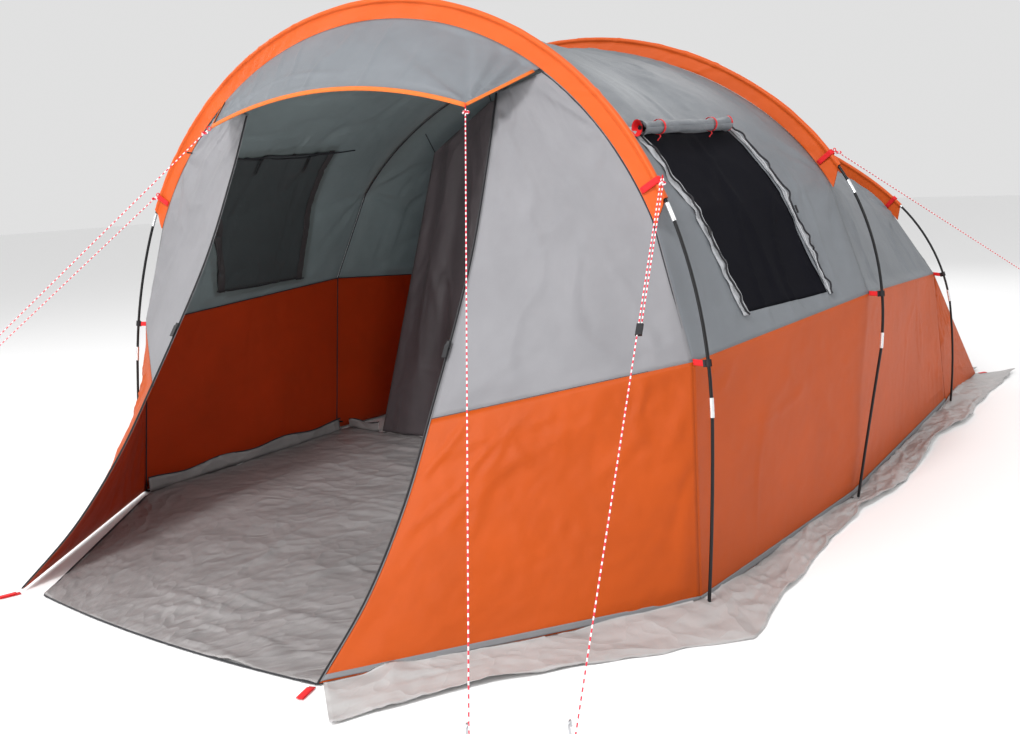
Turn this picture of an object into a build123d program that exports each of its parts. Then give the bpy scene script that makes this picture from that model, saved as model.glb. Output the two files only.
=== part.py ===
"""Tunnel tent with a porch: three arched poles, a sewn fly, a hung bedroom, a groundsheet and guy lines.

Millimetres. +Z is up, -Y is the front (the porch), X = 0 is the plane of symmetry.
The origin is on the ground, in the middle of the tent's length with its mud flaps.
"""
from build123d import *
import math
import os
from collections import namedtuple

os.makedirs("parts", exist_ok=True)

# ---------------------------------------------------------------- driving dimensions
Arch = namedtuple("Arch", "y lean r0 r2 r4 r6 segments")
# An arch's radius from its base centre, at angle p from its top, is
# r0 + r2 cos 2p + r4 cos 4p + r6 cos 6p. It leans backwards by lean degrees.
FRONT_ARCH = Arch(-1550, 4.5, 1693, 290, -26, 0, 9)
MIDDLE_ARCH = Arch(-280, 8.0, 1753, 229, -75, 21, 9)
REAR_ARCH = Arch(1620, 0.5, 1455, 85, -27, 23, 8)
ARCHES = (FRONT_ARCH, MIDDLE_ARCH, REAR_ARCH)

ROD_R = 5.5
BORE_R = 3.2
FERRULE_R = 6.8
FERRULE_HALF = 30
SHOCK_CORD_R = 1.2
ROD_START = 12  # height of a rod's end over the ground
RUN_GAP = 0.4  # between one piece and the next along a pole

SLEEVE_END = 44.6  # degrees from the top where a sleeve stops
SLEEVE_TUNNEL = 11  # half width of the tunnel round the pole
SLEEVE_WALL = 2
SLEEVE_DEPTH = 62  # from the pole's centre to the seam with the fly
SLEEVE_FLAT = 1.5  # half thickness of the sewn flat of a sleeve

CLIP_ANGLE = 61  # degrees from the top, where the pole clip and the colour seam are
CLIP_REACH = 50  # from the pole to the fly at a clip
FOOT_REACH = 28  # from the pole to the fly at the ground

CLOTH = 3  # thickness of the plain solids that stand for cloth
HEM_Z = 7  # height of the fly's hem over the ground
SEAM_GAP = 1  # between two sewn panels
FLAP_THICK = 4
FLOOR_THICK = 3.5

PORCH_CORNER = (700, -2550)  # front corner of the fly on the ground
DOOR_TOP = (600, -1630, 1550)  # awning corner; the door's zip starts behind it
AWNING_ANGLE = 24.2  # degrees from the top where the awning leaves the front sleeve
AWNING_RISE = 90  # height of the middle of the awning's lower edge over its corners
DOOR_SEAM_Z = 610  # height of the colour seam at the door's edge

REAR_CORNER = (1250, 2510)
REAR_HEM_RISE = 25
REAR_SEAM_SHARE = 0.5  # how far down the back panel the colour seam lies

WINDOW = [(-1232, 1450), (-560, 1462), (-496, 850), (-1076, 850)]  # corners in Y and Z
ZIP_WIDTH = 34
MESH_THICK = 1.2

GROUNDSHEET_LEFT = (-590, -2530)  # front corners of the groundsheet
GROUNDSHEET_RIGHT = (690, -2540)
GROUNDSHEET_BOW = 40
RIM_HEIGHT = 70

# half of the bedroom's section, from the ground to its top: behind the middle arch, at the rear arch, at its back
ROOM_FRONT = [(1120, 0), (830, 1450), (490, 1685), (0, 1735)]
ROOM_REAR = [(1060, 0), (790, 960), (450, 1190), (0, 1230)]
ROOM_BACK = [(1000, 0), (760, 150), (430, 190), (0, 205)]
ROOM_FRONT_GAP = 60
ROOM_BACK_Y = 2290
BEDROOM_DOOR = [(-300, 60), (520, 60), (520, 1000), (330, 1330), (60, 1400), (-200, 1280), (-300, 1000)]

GUY_R = 2


# ---------------------------------------------------------------- geometry of the arches
def radius(arch, degrees):
    p = math.radians(degrees)
    return arch.r0 + arch.r2 * math.cos(2 * p) + arch.r4 * math.cos(4 * p) + arch.r6 * math.cos(6 * p)


def on_arch(arch, degrees, inset=0.0):
    """A point in the arch's own plane: across, and up along its lean."""
    r = radius(arch, degrees) - inset
    p = math.radians(degrees)
    return (r * math.sin(p), r * math.cos(p))


def arch_plane(arch):
    t = math.radians(arch.lean)
    return Plane(origin=(0, arch.y, 0), x_dir=(1, 0, 0), z_dir=(0, -math.cos(t), math.sin(t)))


def in_space(arch, point, forward=0.0):
    return arch_plane(arch).offset(forward).from_local_coords(Vector(point[0], point[1], 0))


def arch_points(arch, start, end, inset, count):
    return [on_arch(arch, start + (end - start) * i / (count - 1), inset) for i in range(count)]


def pole_points(arch, step=0.25):
    """Length along the pole, from one foot to the other, against the angle."""
    angle = -90 + math.degrees(ROD_START / radius(arch, 90))
    last = on_arch(arch, angle)
    found = [(0.0, angle)]
    while angle < 90 - math.degrees(ROD_START / radius(arch, 90)) - step:
        angle += step
        point = on_arch(arch, angle)
        found.append((found[-1][0] + math.dist(last, point), angle))
        last = point
    return found


def angle_at(found, length):
    for (l0, a0), (l1, a1) in zip(found, found[1:]):
        if length <= l1:
            return a0 + (a1 - a0) * (length - l0) / (l1 - l0)
    return found[-1][1]


def pole_spans(arch):
    """The lengths where each rod and each ferrule starts and ends."""
    found = pole_points(arch)
    total = found[-1][0]
    joints = [total * i / arch.segments for i in range(1, arch.segments)]
    starts = [0.0] + [j + FERRULE_HALF + RUN_GAP for j in joints]
    ends = [j - FERRULE_HALF - RUN_GAP for j in joints] + [total]
    ferrules = [(j - FERRULE_HALF, j + FERRULE_HALF) for j in joints]
    return found, list(zip(starts, ends)), ferrules


def span_arc(arch, found, start, end):
    """Three points of the pole in space: a span's start, middle and end."""
    lengths = (start, (start + end) / 2, end)
    return [in_space(arch, on_arch(arch, angle_at(found, length))) for length in lengths]


def tube_along(points, outer, inner):
    """Adds a tube that follows the arc through three points to the part being built."""
    with BuildLine() as path:
        ThreePointArc(*points)
    with BuildSketch(Plane(origin=path.line @ 0, z_dir=path.line % 0)) as section:
        Circle(outer)
        if inner:
            Circle(inner, mode=Mode.SUBTRACT)
    sweep(section.sketch, path=path.line)


def band(plane, outer_points, inner_points):
    """The face between two curves that run the same way."""
    with BuildSketch(plane) as section:
        with BuildLine():
            Spline(*outer_points)
            Line(outer_points[-1], inner_points[-1])
            Spline(*inner_points)
            Line(outer_points[0], inner_points[0])
        make_face()
    return section.sketch


def save(built, name):
    built.part.label = name
    export_step(built.part, f"parts/{name}.step")


# ---------------------------------------------------------------- poles
for name, arch in zip(("front_pole", "middle_pole", "rear_pole"), ARCHES):
    found, rods, ferrules = pole_spans(arch)
    with BuildPart() as pole:
        for start, end in rods:
            tube_along(span_arc(arch, found, start, end), ROD_R, BORE_R)
    save(pole, name)

with BuildPart() as pole_ferrules:
    for arch in ARCHES:
        found, rods, ferrules = pole_spans(arch)
        for start, end in ferrules:
            tube_along(span_arc(arch, found, start, end), FERRULE_R, BORE_R)
save(pole_ferrules, "pole_ferrules")

with BuildPart() as shock_cords:
    for arch in ARCHES:
        found, rods, ferrules = pole_spans(arch)
        for start, end in rods:
            tube_along(span_arc(arch, found, start + FERRULE_HALF, end - FERRULE_HALF), SHOCK_CORD_R, 0)
save(shock_cords, "shock_cords")

PIN_R = 2.2
PIN_TOP = 26
RING_R = 14
RING_WIRE = 2.5
with BuildPart() as foot_pins:
    for arch in ARCHES:
        for side in (-1, 1):
            foot = in_space(arch, on_arch(arch, 90 * side))
            turn = math.degrees(PIN_TOP / radius(arch, 90))
            above = in_space(arch, on_arch(arch, (90 - turn) * side))
            with BuildSketch(Plane(origin=(foot.X, foot.Y, RING_WIRE), z_dir=above - foot)):
                Circle(PIN_R)
            extrude(amount=PIN_TOP - RING_WIRE)
            with Locations((foot.X - side * RING_R, foot.Y, RING_WIRE)):
                Torus(RING_R, RING_WIRE)
save(foot_pins, "foot_pins")


# ---------------------------------------------------------------- sleeves
SLEEVE_SAMPLES = 15


def sleeve_band(arch, inner, outer, depth, mode=Mode.ADD):
    """A slab in the arch's plane between two insets from the pole's centre."""
    ends = (arch, -SLEEVE_END, SLEEVE_END)
    outer_points = arch_points(*ends, outer, SLEEVE_SAMPLES)
    inner_points = arch_points(*ends, inner, SLEEVE_SAMPLES)
    extrude(band(arch_plane(arch), outer_points, inner_points), amount=depth, both=True, mode=mode)


for name, arch in zip(("front_sleeve", "middle_sleeve", "rear_sleeve"), ARCHES):
    hollow = SLEEVE_TUNNEL - SLEEVE_WALL
    with BuildPart() as sleeve:
        sleeve_band(arch, SLEEVE_TUNNEL, -SLEEVE_TUNNEL, SLEEVE_TUNNEL)
        sleeve_band(arch, SLEEVE_DEPTH, 0, SLEEVE_FLAT)
        sleeve_band(arch, hollow, -hollow, hollow, Mode.SUBTRACT)
    save(sleeve, name)


# ---------------------------------------------------------------- fly
FLY_TOP_INSET = SLEEVE_DEPTH + SEAM_GAP
FLY_SAMPLES = 13


def seam_point(arch, side, inset=0.0):
    x, h = on_arch(arch, CLIP_ANGLE)
    return (side * (x - CLIP_REACH - inset), h)


def foot_point(arch, side, inset=0.0):
    x, h = on_arch(arch, 90)
    return (side * (x - FOOT_REACH - inset), HEM_Z)


def roof_curve(arch, inset):
    """The line of the roof in the arch's plane, from the left colour seam to the right one."""
    top = arch_points(arch, -SLEEVE_END, SLEEVE_END, FLY_TOP_INSET + inset, FLY_SAMPLES)
    return [seam_point(arch, -1, inset)] + top + [seam_point(arch, 1, inset)]


def roof_section(arch, inset, thick, forward):
    """The roof's section in the arch's plane: straight below the sleeve, curved along it."""
    outer = roof_curve(arch, inset)
    inner = roof_curve(arch, inset + thick)
    with BuildSketch(arch_plane(arch).offset(forward)) as section:
        with BuildLine():
            for curve in (outer, inner):
                Line(curve[0], curve[1])
                Spline(*curve[1:-1])
                Line(curve[-2], curve[-1])
            Line(outer[0], inner[0])
            Line(outer[-1], inner[-1])
        make_face()
    return section.sketch


def roof_between(front, back, inset=0.0, thick=CLOTH):
    sections = [roof_section(front, inset, thick, -SEAM_GAP), roof_section(back, inset, thick, SEAM_GAP)]
    loft(sections, ruled=True)


def window_slab(corners, mode):
    with BuildSketch(Plane.YZ) as section:
        Polygon(*corners, align=None)
    extrude(section.sketch, amount=1700, both=True, mode=mode)


with BuildPart() as living_roof:
    roof_between(FRONT_ARCH, MIDDLE_ARCH)
    window_slab(WINDOW, Mode.SUBTRACT)
save(living_roof, "living_roof")

with BuildPart() as bedroom_roof:
    roof_between(MIDDLE_ARCH, REAR_ARCH)
save(bedroom_roof, "bedroom_roof")


def wall_section(arch, side, forward):
    with BuildSketch(arch_plane(arch).offset(forward)) as section:
        seam = seam_point(arch, side)
        foot = foot_point(arch, side)
        lowered = SEAM_GAP
        Polygon(
            (seam[0], seam[1] - lowered),
            foot,
            (foot[0] - side * CLOTH, foot[1]),
            (seam[0] - side * CLOTH, seam[1] - lowered),
            align=None,
        )
    return section.sketch


for name, side in (("lower_wall_right", 1), ("lower_wall_left", -1)):
    with BuildPart() as lower_wall:
        for front, back in ((FRONT_ARCH, MIDDLE_ARCH), (MIDDLE_ARCH, REAR_ARCH)):
            loft([wall_section(front, side, -SEAM_GAP), wall_section(back, side, SEAM_GAP)], ruled=True)
    save(lower_wall, name)


def rear_curve(share, inset):
    """A line across the back panel: share 0 is the rear arch, 1 is the hem on the ground."""
    arch_line = roof_curve(REAR_ARCH, inset)
    count = len(arch_line) - 1
    made = []
    for i, (x, h) in enumerate(arch_line):
        across = REAR_CORNER[0] * (2 * i / count - 1)
        low = HEM_Z + REAR_HEM_RISE * (1 - (across / REAR_CORNER[0]) ** 2) - inset
        made.append((x + (across - x) * share, h + (low - h) * share))
    return made


def rear_section(share, gap):
    y = REAR_ARCH.y + (REAR_CORNER[1] - REAR_ARCH.y) * share + gap
    plane = Plane(origin=(0, y, 0), x_dir=(1, 0, 0), z_dir=(0, -1, 0))
    return band(plane, rear_curve(share, 0), rear_curve(share, CLOTH))


with BuildPart() as rear_roof:
    loft([rear_section(0.02, 0), rear_section(REAR_SEAM_SHARE, -SEAM_GAP)], ruled=True)
save(rear_roof, "rear_roof")

with BuildPart() as rear_wall:
    loft([rear_section(REAR_SEAM_SHARE, SEAM_GAP), rear_section(1, 0)], ruled=True)
    for side in (-1, 1):
        foot = in_space(REAR_ARCH, foot_point(REAR_ARCH, side))
        seam = in_space(REAR_ARCH, seam_point(REAR_ARCH, side))
        corner = Vector(side * REAR_CORNER[0], REAR_CORNER[1], HEM_Z)
        ahead = (corner - foot).normalized()
        normal = ahead.cross(seam - foot).normalized()
        plane = Plane(origin=foot + ahead * 2 * CLOTH, x_dir=ahead, z_dir=normal)
        tip = plane.to_local_coords(seam)
        length = (corner - foot).length - 4 * CLOTH
        with BuildSketch(plane):
            Polygon((0, 0), (length - CLOTH, 0), (tip.X + 2 * CLOTH, tip.Y - 4 * CLOTH), align=None)
        extrude(amount=-side * CLOTH)
save(rear_wall, "rear_wall")


# ---------------------------------------------------------------- porch
# the doorway's edge as heights, each with its place in Y
DOOR_CURVE = [(1600, -1448), (1355, -1545), (1027, -1700), (DOOR_SEAM_Z + 1, -1965)]
DOOR_FOOT_CURVE = [(DOOR_SEAM_Z, -1966), (380, -2125), (170, -2320), (HEM_Z + 2, -2540)]
DOOR_SLOPE = (PORCH_CORNER[0] - DOOR_TOP[0]) / DOOR_TOP[2]
PORCH_ANGLE = AWNING_ANGLE + 0.6


def door_plane(side):
    """The plane that holds one edge of the doorway. Its own axes are forwards and up."""
    low = Vector(side * PORCH_CORNER[0], 0, 0)
    high = Vector(side * DOOR_TOP[0], 0, DOOR_TOP[2])
    ahead = Vector(0, -1, 0)
    return Plane(origin=low, x_dir=ahead, z_dir=ahead.cross(high - low))


def door_line(curve, forward=0.0):
    """Points of the door's edge in its own plane."""
    return [(forward - y, z * math.hypot(1, DOOR_SLOPE)) for z, y in curve]


def skin(first_plane, first_points, second_plane, second_points, amount):
    """A thin solid on the ruled surface between two curves."""
    with BuildLine(first_plane) as first:
        Spline(*first_points)
    with BuildLine(second_plane) as second:
        Spline(*second_points)
    surface = Face.make_surface_from_curves(first.edges()[0], second.edges()[0])
    thicken(surface, amount=amount)


def porch_top_line(side):
    line = arch_points(FRONT_ARCH, PORCH_ANGLE, SLEEVE_END, FLY_TOP_INSET, 4) + [seam_point(FRONT_ARCH, 1)]
    return [(side * x, h) for x, h in line]


def porch_foot_line(side):
    seam = seam_point(FRONT_ARCH, side)
    foot = foot_point(FRONT_ARCH, side)
    middle = ((seam[0] + foot[0]) / 2 + side, (seam[1] + foot[1]) / 2)
    return [(seam[0], seam[1] - SEAM_GAP), middle, foot]


ARCH_FACE = arch_plane(FRONT_ARCH).offset(SLEEVE_TUNNEL)
for side, word in ((1, "right"), (-1, "left")):
    with BuildPart() as porch_upper:
        skin(ARCH_FACE, porch_top_line(side), door_plane(side), door_line(DOOR_CURVE), side * CLOTH)
    save(porch_upper, f"porch_upper_{word}")
    with BuildPart() as porch_lower:
        skin(ARCH_FACE, porch_foot_line(side), door_plane(side), door_line(DOOR_FOOT_CURVE), side * CLOTH)
    save(porch_lower, f"porch_lower_{word}")


def awning_edge(across):
    return (across, DOOR_TOP[2] + AWNING_RISE * (1 - (across / DOOR_TOP[0]) ** 2))


AWNING_STEPS = 9
with BuildPart() as awning:
    front_plane = Plane(origin=(0, DOOR_TOP[1], 0), x_dir=(1, 0, 0), z_dir=(0, -1, 0))
    half = DOOR_TOP[0]
    low_line = [awning_edge(-half + 2 * half * i / (AWNING_STEPS - 1)) for i in range(AWNING_STEPS)]
    top_line = arch_points(FRONT_ARCH, -AWNING_ANGLE, AWNING_ANGLE, FLY_TOP_INSET, AWNING_STEPS)
    skin(ARCH_FACE, top_line, front_plane, low_line, CLOTH)
save(awning, "awning")

ZIP_R = 3
ZIP_AHEAD = 8
ZIP_BEND = 150
with BuildPart() as door_zips:
    for side in (-1, 1):
        curve = DOOR_CURVE[:-1] + DOOR_FOOT_CURVE
        with BuildLine(door_plane(side)) as path:
            FilletPolyline(*door_line(curve, ZIP_AHEAD), radius=ZIP_BEND)
        with BuildSketch(Plane(origin=path.line @ 0, z_dir=path.line % 0)) as section:
            Circle(ZIP_R)
        sweep(section.sketch, path=path.line)
save(door_zips, "door_zips")

DOOR_SLIDER_AT = 0.5  # share of the straight stretch of zip above the colour seam
SLIDER_R = 8
SLIDER_HALF = 11
TAB = (5, 16, 34)
for side, word in ((1, "right"), (-1, "left")):
    upper, lower = door_line([DOOR_CURVE[2], DOOR_FOOT_CURVE[0]], ZIP_AHEAD)
    upper = door_plane(side).from_local_coords(Vector(*upper, 0))
    lower = door_plane(side).from_local_coords(Vector(*lower, 0))
    middle = lower + (upper - lower) * DOOR_SLIDER_AT
    plane = Plane(origin=middle, x_dir=(0, -1, 0), z_dir=upper - lower)
    with BuildPart() as door_slider:
        with BuildSketch(plane.offset(-SLIDER_HALF)) as section:
            Circle(SLIDER_R)
            Circle(ZIP_R + 0.5, mode=Mode.SUBTRACT)
        extrude(section.sketch, amount=2 * SLIDER_HALF)
        with BuildSketch(plane.offset(-SLIDER_HALF - TAB[2])) as section:
            with Locations((SLIDER_R - TAB[0] / 2 + 1, 0)):
                Rectangle(TAB[0] / 2, TAB[1])
        extrude(section.sketch, amount=TAB[2] + SLIDER_HALF)
    save(door_slider, f"door_slider_{word}")
    print(f"door_slider_{word}: at {middle}, slides along {(upper - lower).normalized()}")

ROLL_R = 38
ROLL_HALF = 330
ROLL_AXIS = (-1480, 1712)
TIE_WIDTH = 20
TIE_THICK = 1.6
with BuildPart() as rolled_door:
    with BuildSketch(Plane(origin=(-ROLL_HALF, *ROLL_AXIS), z_dir=(1, 0, 0))) as section:
        Circle(ROLL_R)
    extrude(section.sketch, amount=2 * ROLL_HALF)
save(rolled_door, "rolled_door")


# ---------------------------------------------------------------- windows
def in_ruled_roof(share, degrees, outwards=0.0):
    """A point of the living roof, share of the way from the front arch to the middle one."""
    side = -1 if degrees < 0 else 1
    a = in_space(FRONT_ARCH, on_arch(FRONT_ARCH, degrees, FLY_TOP_INSET - outwards))
    b = in_space(MIDDLE_ARCH, on_arch(MIDDLE_ARCH, degrees, FLY_TOP_INSET - outwards))
    if abs(degrees) > SLEEVE_END:
        share_down = (abs(degrees) - SLEEVE_END) / (CLIP_ANGLE - SLEEVE_END)
        a, b = (
            in_space(arch, flank_point(arch, side, share_down, outwards)) for arch in (FRONT_ARCH, MIDDLE_ARCH)
        )
    return a + (b - a) * share


def flank_point(arch, side, share_down, outwards):
    """A point of the straight stretch of a roof section, between the sleeve's end and the colour seam."""
    top = on_arch(arch, SLEEVE_END, FLY_TOP_INSET - outwards)
    low = seam_point(arch, 1, -outwards)
    return (side * (top[0] + (low[0] - top[0]) * share_down), top[1] + (low[1] - top[1]) * share_down)


def grown(corners, amount):
    """The window's four corners, moved out by the amount."""
    ways = ((-1, 1), (1, 1), (1, -1), (-1, -1))
    return [(y + amount * wy, z + amount * wz) for (y, z), (wy, wz) in zip(corners, ways)]


def beside(corners, first):
    """A strip along the window's front or back edge."""
    top, low = (corners[0], corners[3]) if first else (corners[1], corners[2])
    way = -1 if first else 1
    near, far = 2 * way, (2 + ZIP_WIDTH) * way
    return [(top[0] + near, top[1] + 10), (top[0] + far, top[1] + 10), (low[0] + far, low[1] - 16), (low[0] + near, low[1] - 16)]


def roof_patch(polygons, inset, thick, side):
    """A sheet that lies along the living roof, cut to polygons seen from the side."""
    roof_between(FRONT_ARCH, MIDDLE_ARCH, inset, thick)
    with BuildSketch(Plane.YZ) as section:
        for polygon in polygons:
            Polygon(*polygon, align=None)
    extrude(section.sketch, amount=1700 * side, mode=Mode.INTERSECT)


for side, word in ((1, "right"), (-1, "left")):
    with BuildPart() as window_mesh:
        roof_patch([grown(WINDOW, -1)], 1, MESH_THICK, side)
    save(window_mesh, f"window_mesh_{word}")
    with BuildPart() as window_zips:
        roof_patch([beside(WINDOW, True), beside(WINDOW, False)], -3.5, 3, side)
    save(window_zips, f"window_zips_{word}")

with BuildPart() as window_cover_left:
    roof_patch([grown(WINDOW, 30)], -6, 2, -1)
save(window_cover_left, "window_cover_left")

COVER_ROLL_R = 27
COVER_ROLL_ANGLE = 34.6
COVER_ROLL_OUT = 35
roll_front = in_ruled_roof(0.13, COVER_ROLL_ANGLE, COVER_ROLL_OUT)
roll_back = in_ruled_roof(0.60, COVER_ROLL_ANGLE, COVER_ROLL_OUT)
with BuildPart() as window_roll_right:
    with BuildSketch(Plane(origin=roll_front, z_dir=roll_back - roll_front)) as section:
        Circle(COVER_ROLL_R)
    extrude(section.sketch, amount=(roll_back - roll_front).length)
save(window_roll_right, "window_roll_right")


def tie_ring(centre, way, inner):
    """A strap round a roll."""
    plane = Plane(origin=centre, z_dir=way).offset(-TIE_WIDTH / 2)
    with BuildSketch(plane) as section:
        Circle(inner + TIE_THICK)
        Circle(inner + 0.3, mode=Mode.SUBTRACT)
    extrude(section.sketch, amount=TIE_WIDTH)


with BuildPart() as roll_ties:
    for share in (0.22, 0.78):
        tie_ring(roll_front + (roll_back - roll_front) * share, roll_back - roll_front, COVER_ROLL_R)
    for across in (-240, 0, 240):
        tie_ring(Vector(across, *ROLL_AXIS), Vector(1, 0, 0), ROLL_R)
save(roll_ties, "roll_ties")

# window sliders: name, side, share along the roof, angle from the top
WINDOW_SLIDERS = [
    ("window_slider_right_front", 1, 0.212, 47.0),
    ("window_slider_right_back", 1, 0.710, 47.0),
    ("window_slider_left_front", -1, 0.290, 57.0),
    ("window_slider_left_back", -1, 0.756, 57.0),
]
PULL = (9, 5, 30)
for name, side, share, angle in WINDOW_SLIDERS:
    place = in_ruled_roof(share, side * angle, 11)
    above = in_ruled_roof(share, side * (angle - 3), 11)
    plane = Plane(origin=place, x_dir=(0, 1, 0), z_dir=place - above)
    with BuildPart() as window_slider:
        with BuildSketch(plane) as section:
            Rectangle(PULL[0], PULL[1])
        extrude(section.sketch, amount=PULL[2])
    save(window_slider, name)
    print(f"{name}: at {place}, slides along {(place - above).normalized()}")


# ---------------------------------------------------------------- ground
def mirrored(points, side):
    return [(side * x, y) for x, y in points]


FLAP_INNER = [(705, -2530), (1350, -1548), (1400, -278), (1300, 1620), (1235, 2495)]
FLAP_OUTER = [
    (1460, 2690), (1450, 2000), (1500, 1250), (1460, 850), (1550, 60), (1500, -450),
    (1550, -1350), (1600, -1700), (1500, -1820), (1250, -2100), (1020, -2450), (895, -2700),
]
FLAP_OUTLINES = {  # the left flap starts at the front arch, the right one at the porch's corner
    1: FLAP_INNER + FLAP_OUTER,
    -1: FLAP_INNER[1:] + FLAP_OUTER[:6] + [(1480, -1500)],
}
with BuildPart() as mud_flaps:
    for side, outline in FLAP_OUTLINES.items():
        with BuildSketch() as section:
            Polygon(*mirrored(outline, side), align=None)
            for arch in ARCHES:
                foot = in_space(arch, on_arch(arch, 90 * side))
                with Locations((foot.X - side * RING_R, foot.Y)):
                    Circle(RING_R + 3 * RING_WIRE, mode=Mode.SUBTRACT)
        extrude(section.sketch, amount=FLAP_THICK)
    with BuildSketch() as section:
        Polygon((-1225, 2500), (1225, 2500), (1225, 2700), (500, 2660), (-300, 2690), (-1225, 2650), align=None)
    extrude(section.sketch, amount=FLAP_THICK)
save(mud_flaps, "mud_flaps")

ROOM_FRONT_Y = -225
GROUNDSHEET_SIDE = [(1310, -1555), (1352, -290), (1350, ROOM_FRONT_Y)]
RIM_END = 1135  # the raised back edge reaches from the side to the bedroom
with BuildPart() as groundsheet:
    middle = (GROUNDSHEET_LEFT[0] + GROUNDSHEET_RIGHT[0]) / 2, GROUNDSHEET_RIGHT[1] - GROUNDSHEET_BOW
    with BuildSketch() as section:
        with BuildLine():
            ThreePointArc(GROUNDSHEET_LEFT, middle, GROUNDSHEET_RIGHT)
            Polyline(GROUNDSHEET_RIGHT, *GROUNDSHEET_SIDE)
            Line(GROUNDSHEET_SIDE[-1], (-GROUNDSHEET_SIDE[-1][0], ROOM_FRONT_Y))
            Polyline(*mirrored(reversed(GROUNDSHEET_SIDE), -1), GROUNDSHEET_LEFT)
        make_face()
    extrude(section.sketch, amount=FLOOR_THICK)
    for side in (-1, 1):
        (x0, y0), (x1, y1) = GROUNDSHEET_SIDE[:2]
        with BuildSketch() as section:
            Polygon(
                *mirrored([(x0, y0), (x1, y1), (x1 - FLOOR_THICK, y1), (x0 - FLOOR_THICK, y0)], side),
                align=None,
            )
        extrude(section.sketch, amount=RIM_HEIGHT)
        back_x, back_y = GROUNDSHEET_SIDE[-1]
        with BuildSketch() as section:
            Polygon(
                *mirrored([(back_x, back_y), (back_x, back_y - FLOOR_THICK), (RIM_END, back_y - FLOOR_THICK),
                           (RIM_END, back_y)], side),
                align=None,
            )
        extrude(section.sketch, amount=RIM_HEIGHT)
save(groundsheet, "groundsheet")

BEDROOM_FLOOR = [(1105, ROOM_FRONT_Y + 5), (1045, 1600), (985, 2240)]
with BuildPart() as bedroom_floor:
    with BuildSketch() as section:
        Polygon(*BEDROOM_FLOOR, *mirrored(reversed(BEDROOM_FLOOR), -1), align=None)
    extrude(section.sketch, amount=FLOOR_THICK)
save(bedroom_floor, "bedroom_floor")


# ---------------------------------------------------------------- bedroom
ROOM_FOOT = 15


def room_outline(half, inset=0.0):
    """The bedroom's section: its half outline and the mirrored half, over its foot."""
    line = [(max(x - inset, 0), max(h - inset, 0) + ROOM_FOOT) for x, h in half]
    return line + mirrored(reversed(line[:-1]), -1)


def room_section(half, plane):
    """The thin outline of the bedroom's section, open at the ground."""
    with BuildSketch(plane) as section:
        Polygon(*room_outline(half), *reversed(room_outline(half, CLOTH)), align=None)
    return section.sketch


room_front_plane = arch_plane(MIDDLE_ARCH).offset(-ROOM_FRONT_GAP)
room_rear_plane = arch_plane(REAR_ARCH).offset(60)
room_back_plane = Plane(origin=(0, ROOM_BACK_Y, 0), x_dir=(1, 0, 0), z_dir=(0, -1, 0))
with BuildPart() as bedroom_shell:
    front = room_section(ROOM_FRONT, room_front_plane.offset(-CLOTH - 1))
    rear = room_section(ROOM_REAR, room_rear_plane)
    loft([front, rear], ruled=True)
    loft([rear, room_section(ROOM_BACK, room_back_plane)], ruled=True)
save(bedroom_shell, "bedroom_shell")

with BuildPart() as bedroom_front:
    with BuildSketch(room_front_plane) as section:
        Polygon(*room_outline(ROOM_FRONT), align=None)
        Polygon(*BEDROOM_DOOR, align=None, mode=Mode.SUBTRACT)
    extrude(section.sketch, amount=-CLOTH)
save(bedroom_front, "bedroom_front")

DOOR_ROLL_R = 32
with BuildPart() as bedroom_door_roll:
    low = in_space(MIDDLE_ARCH, (575, 80), -ROOM_FRONT_GAP + DOOR_ROLL_R + 2)
    high = in_space(MIDDLE_ARCH, (575, 1080), -ROOM_FRONT_GAP + DOOR_ROLL_R + 2)
    with BuildSketch(Plane(origin=low, z_dir=high - low)) as section:
        Circle(DOOR_ROLL_R)
    extrude(section.sketch, amount=(high - low).length)
save(bedroom_door_roll, "bedroom_door_roll")


def rod_between(start, end, r):
    with BuildSketch(Plane(origin=start, z_dir=end - start)) as section:
        Circle(r)
    extrude(section.sketch, amount=(end - start).length)


HOOK_R = 2.5
with BuildPart() as bedroom_hooks:
    for arch, half, plane, gap in (
        (MIDDLE_ARCH, ROOM_FRONT, room_front_plane.offset(-CLOTH - 3), -ROOM_FRONT_GAP - CLOTH - 3),
        (REAR_ARCH, ROOM_REAR, room_rear_plane, 60),
    ):
        for side in (-1, 1):
            for x, h in half[1:3]:
                angle = math.degrees(math.atan2(side * x, h))
                low = plane.from_local_coords(Vector(side * x, h + ROOM_FOOT + 4, 0))
                fly = on_arch(arch, angle, FLY_TOP_INSET + CLOTH + 16)
                rod_between(low, in_space(arch, fly, gap), HOOK_R)
save(bedroom_hooks, "bedroom_hooks")


# ---------------------------------------------------------------- fittings
def radial_plane(arch, degrees):
    """At the pole: x points out from the arch, z along the pole."""
    here = on_arch(arch, degrees)
    near = on_arch(arch, degrees + 0.5)
    origin = in_space(arch, here)
    along = (in_space(arch, near) - origin).normalized()
    across = Vector(*arch_plane(arch).z_dir)
    return Plane(origin=origin, x_dir=across.cross(along), z_dir=along)


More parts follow.
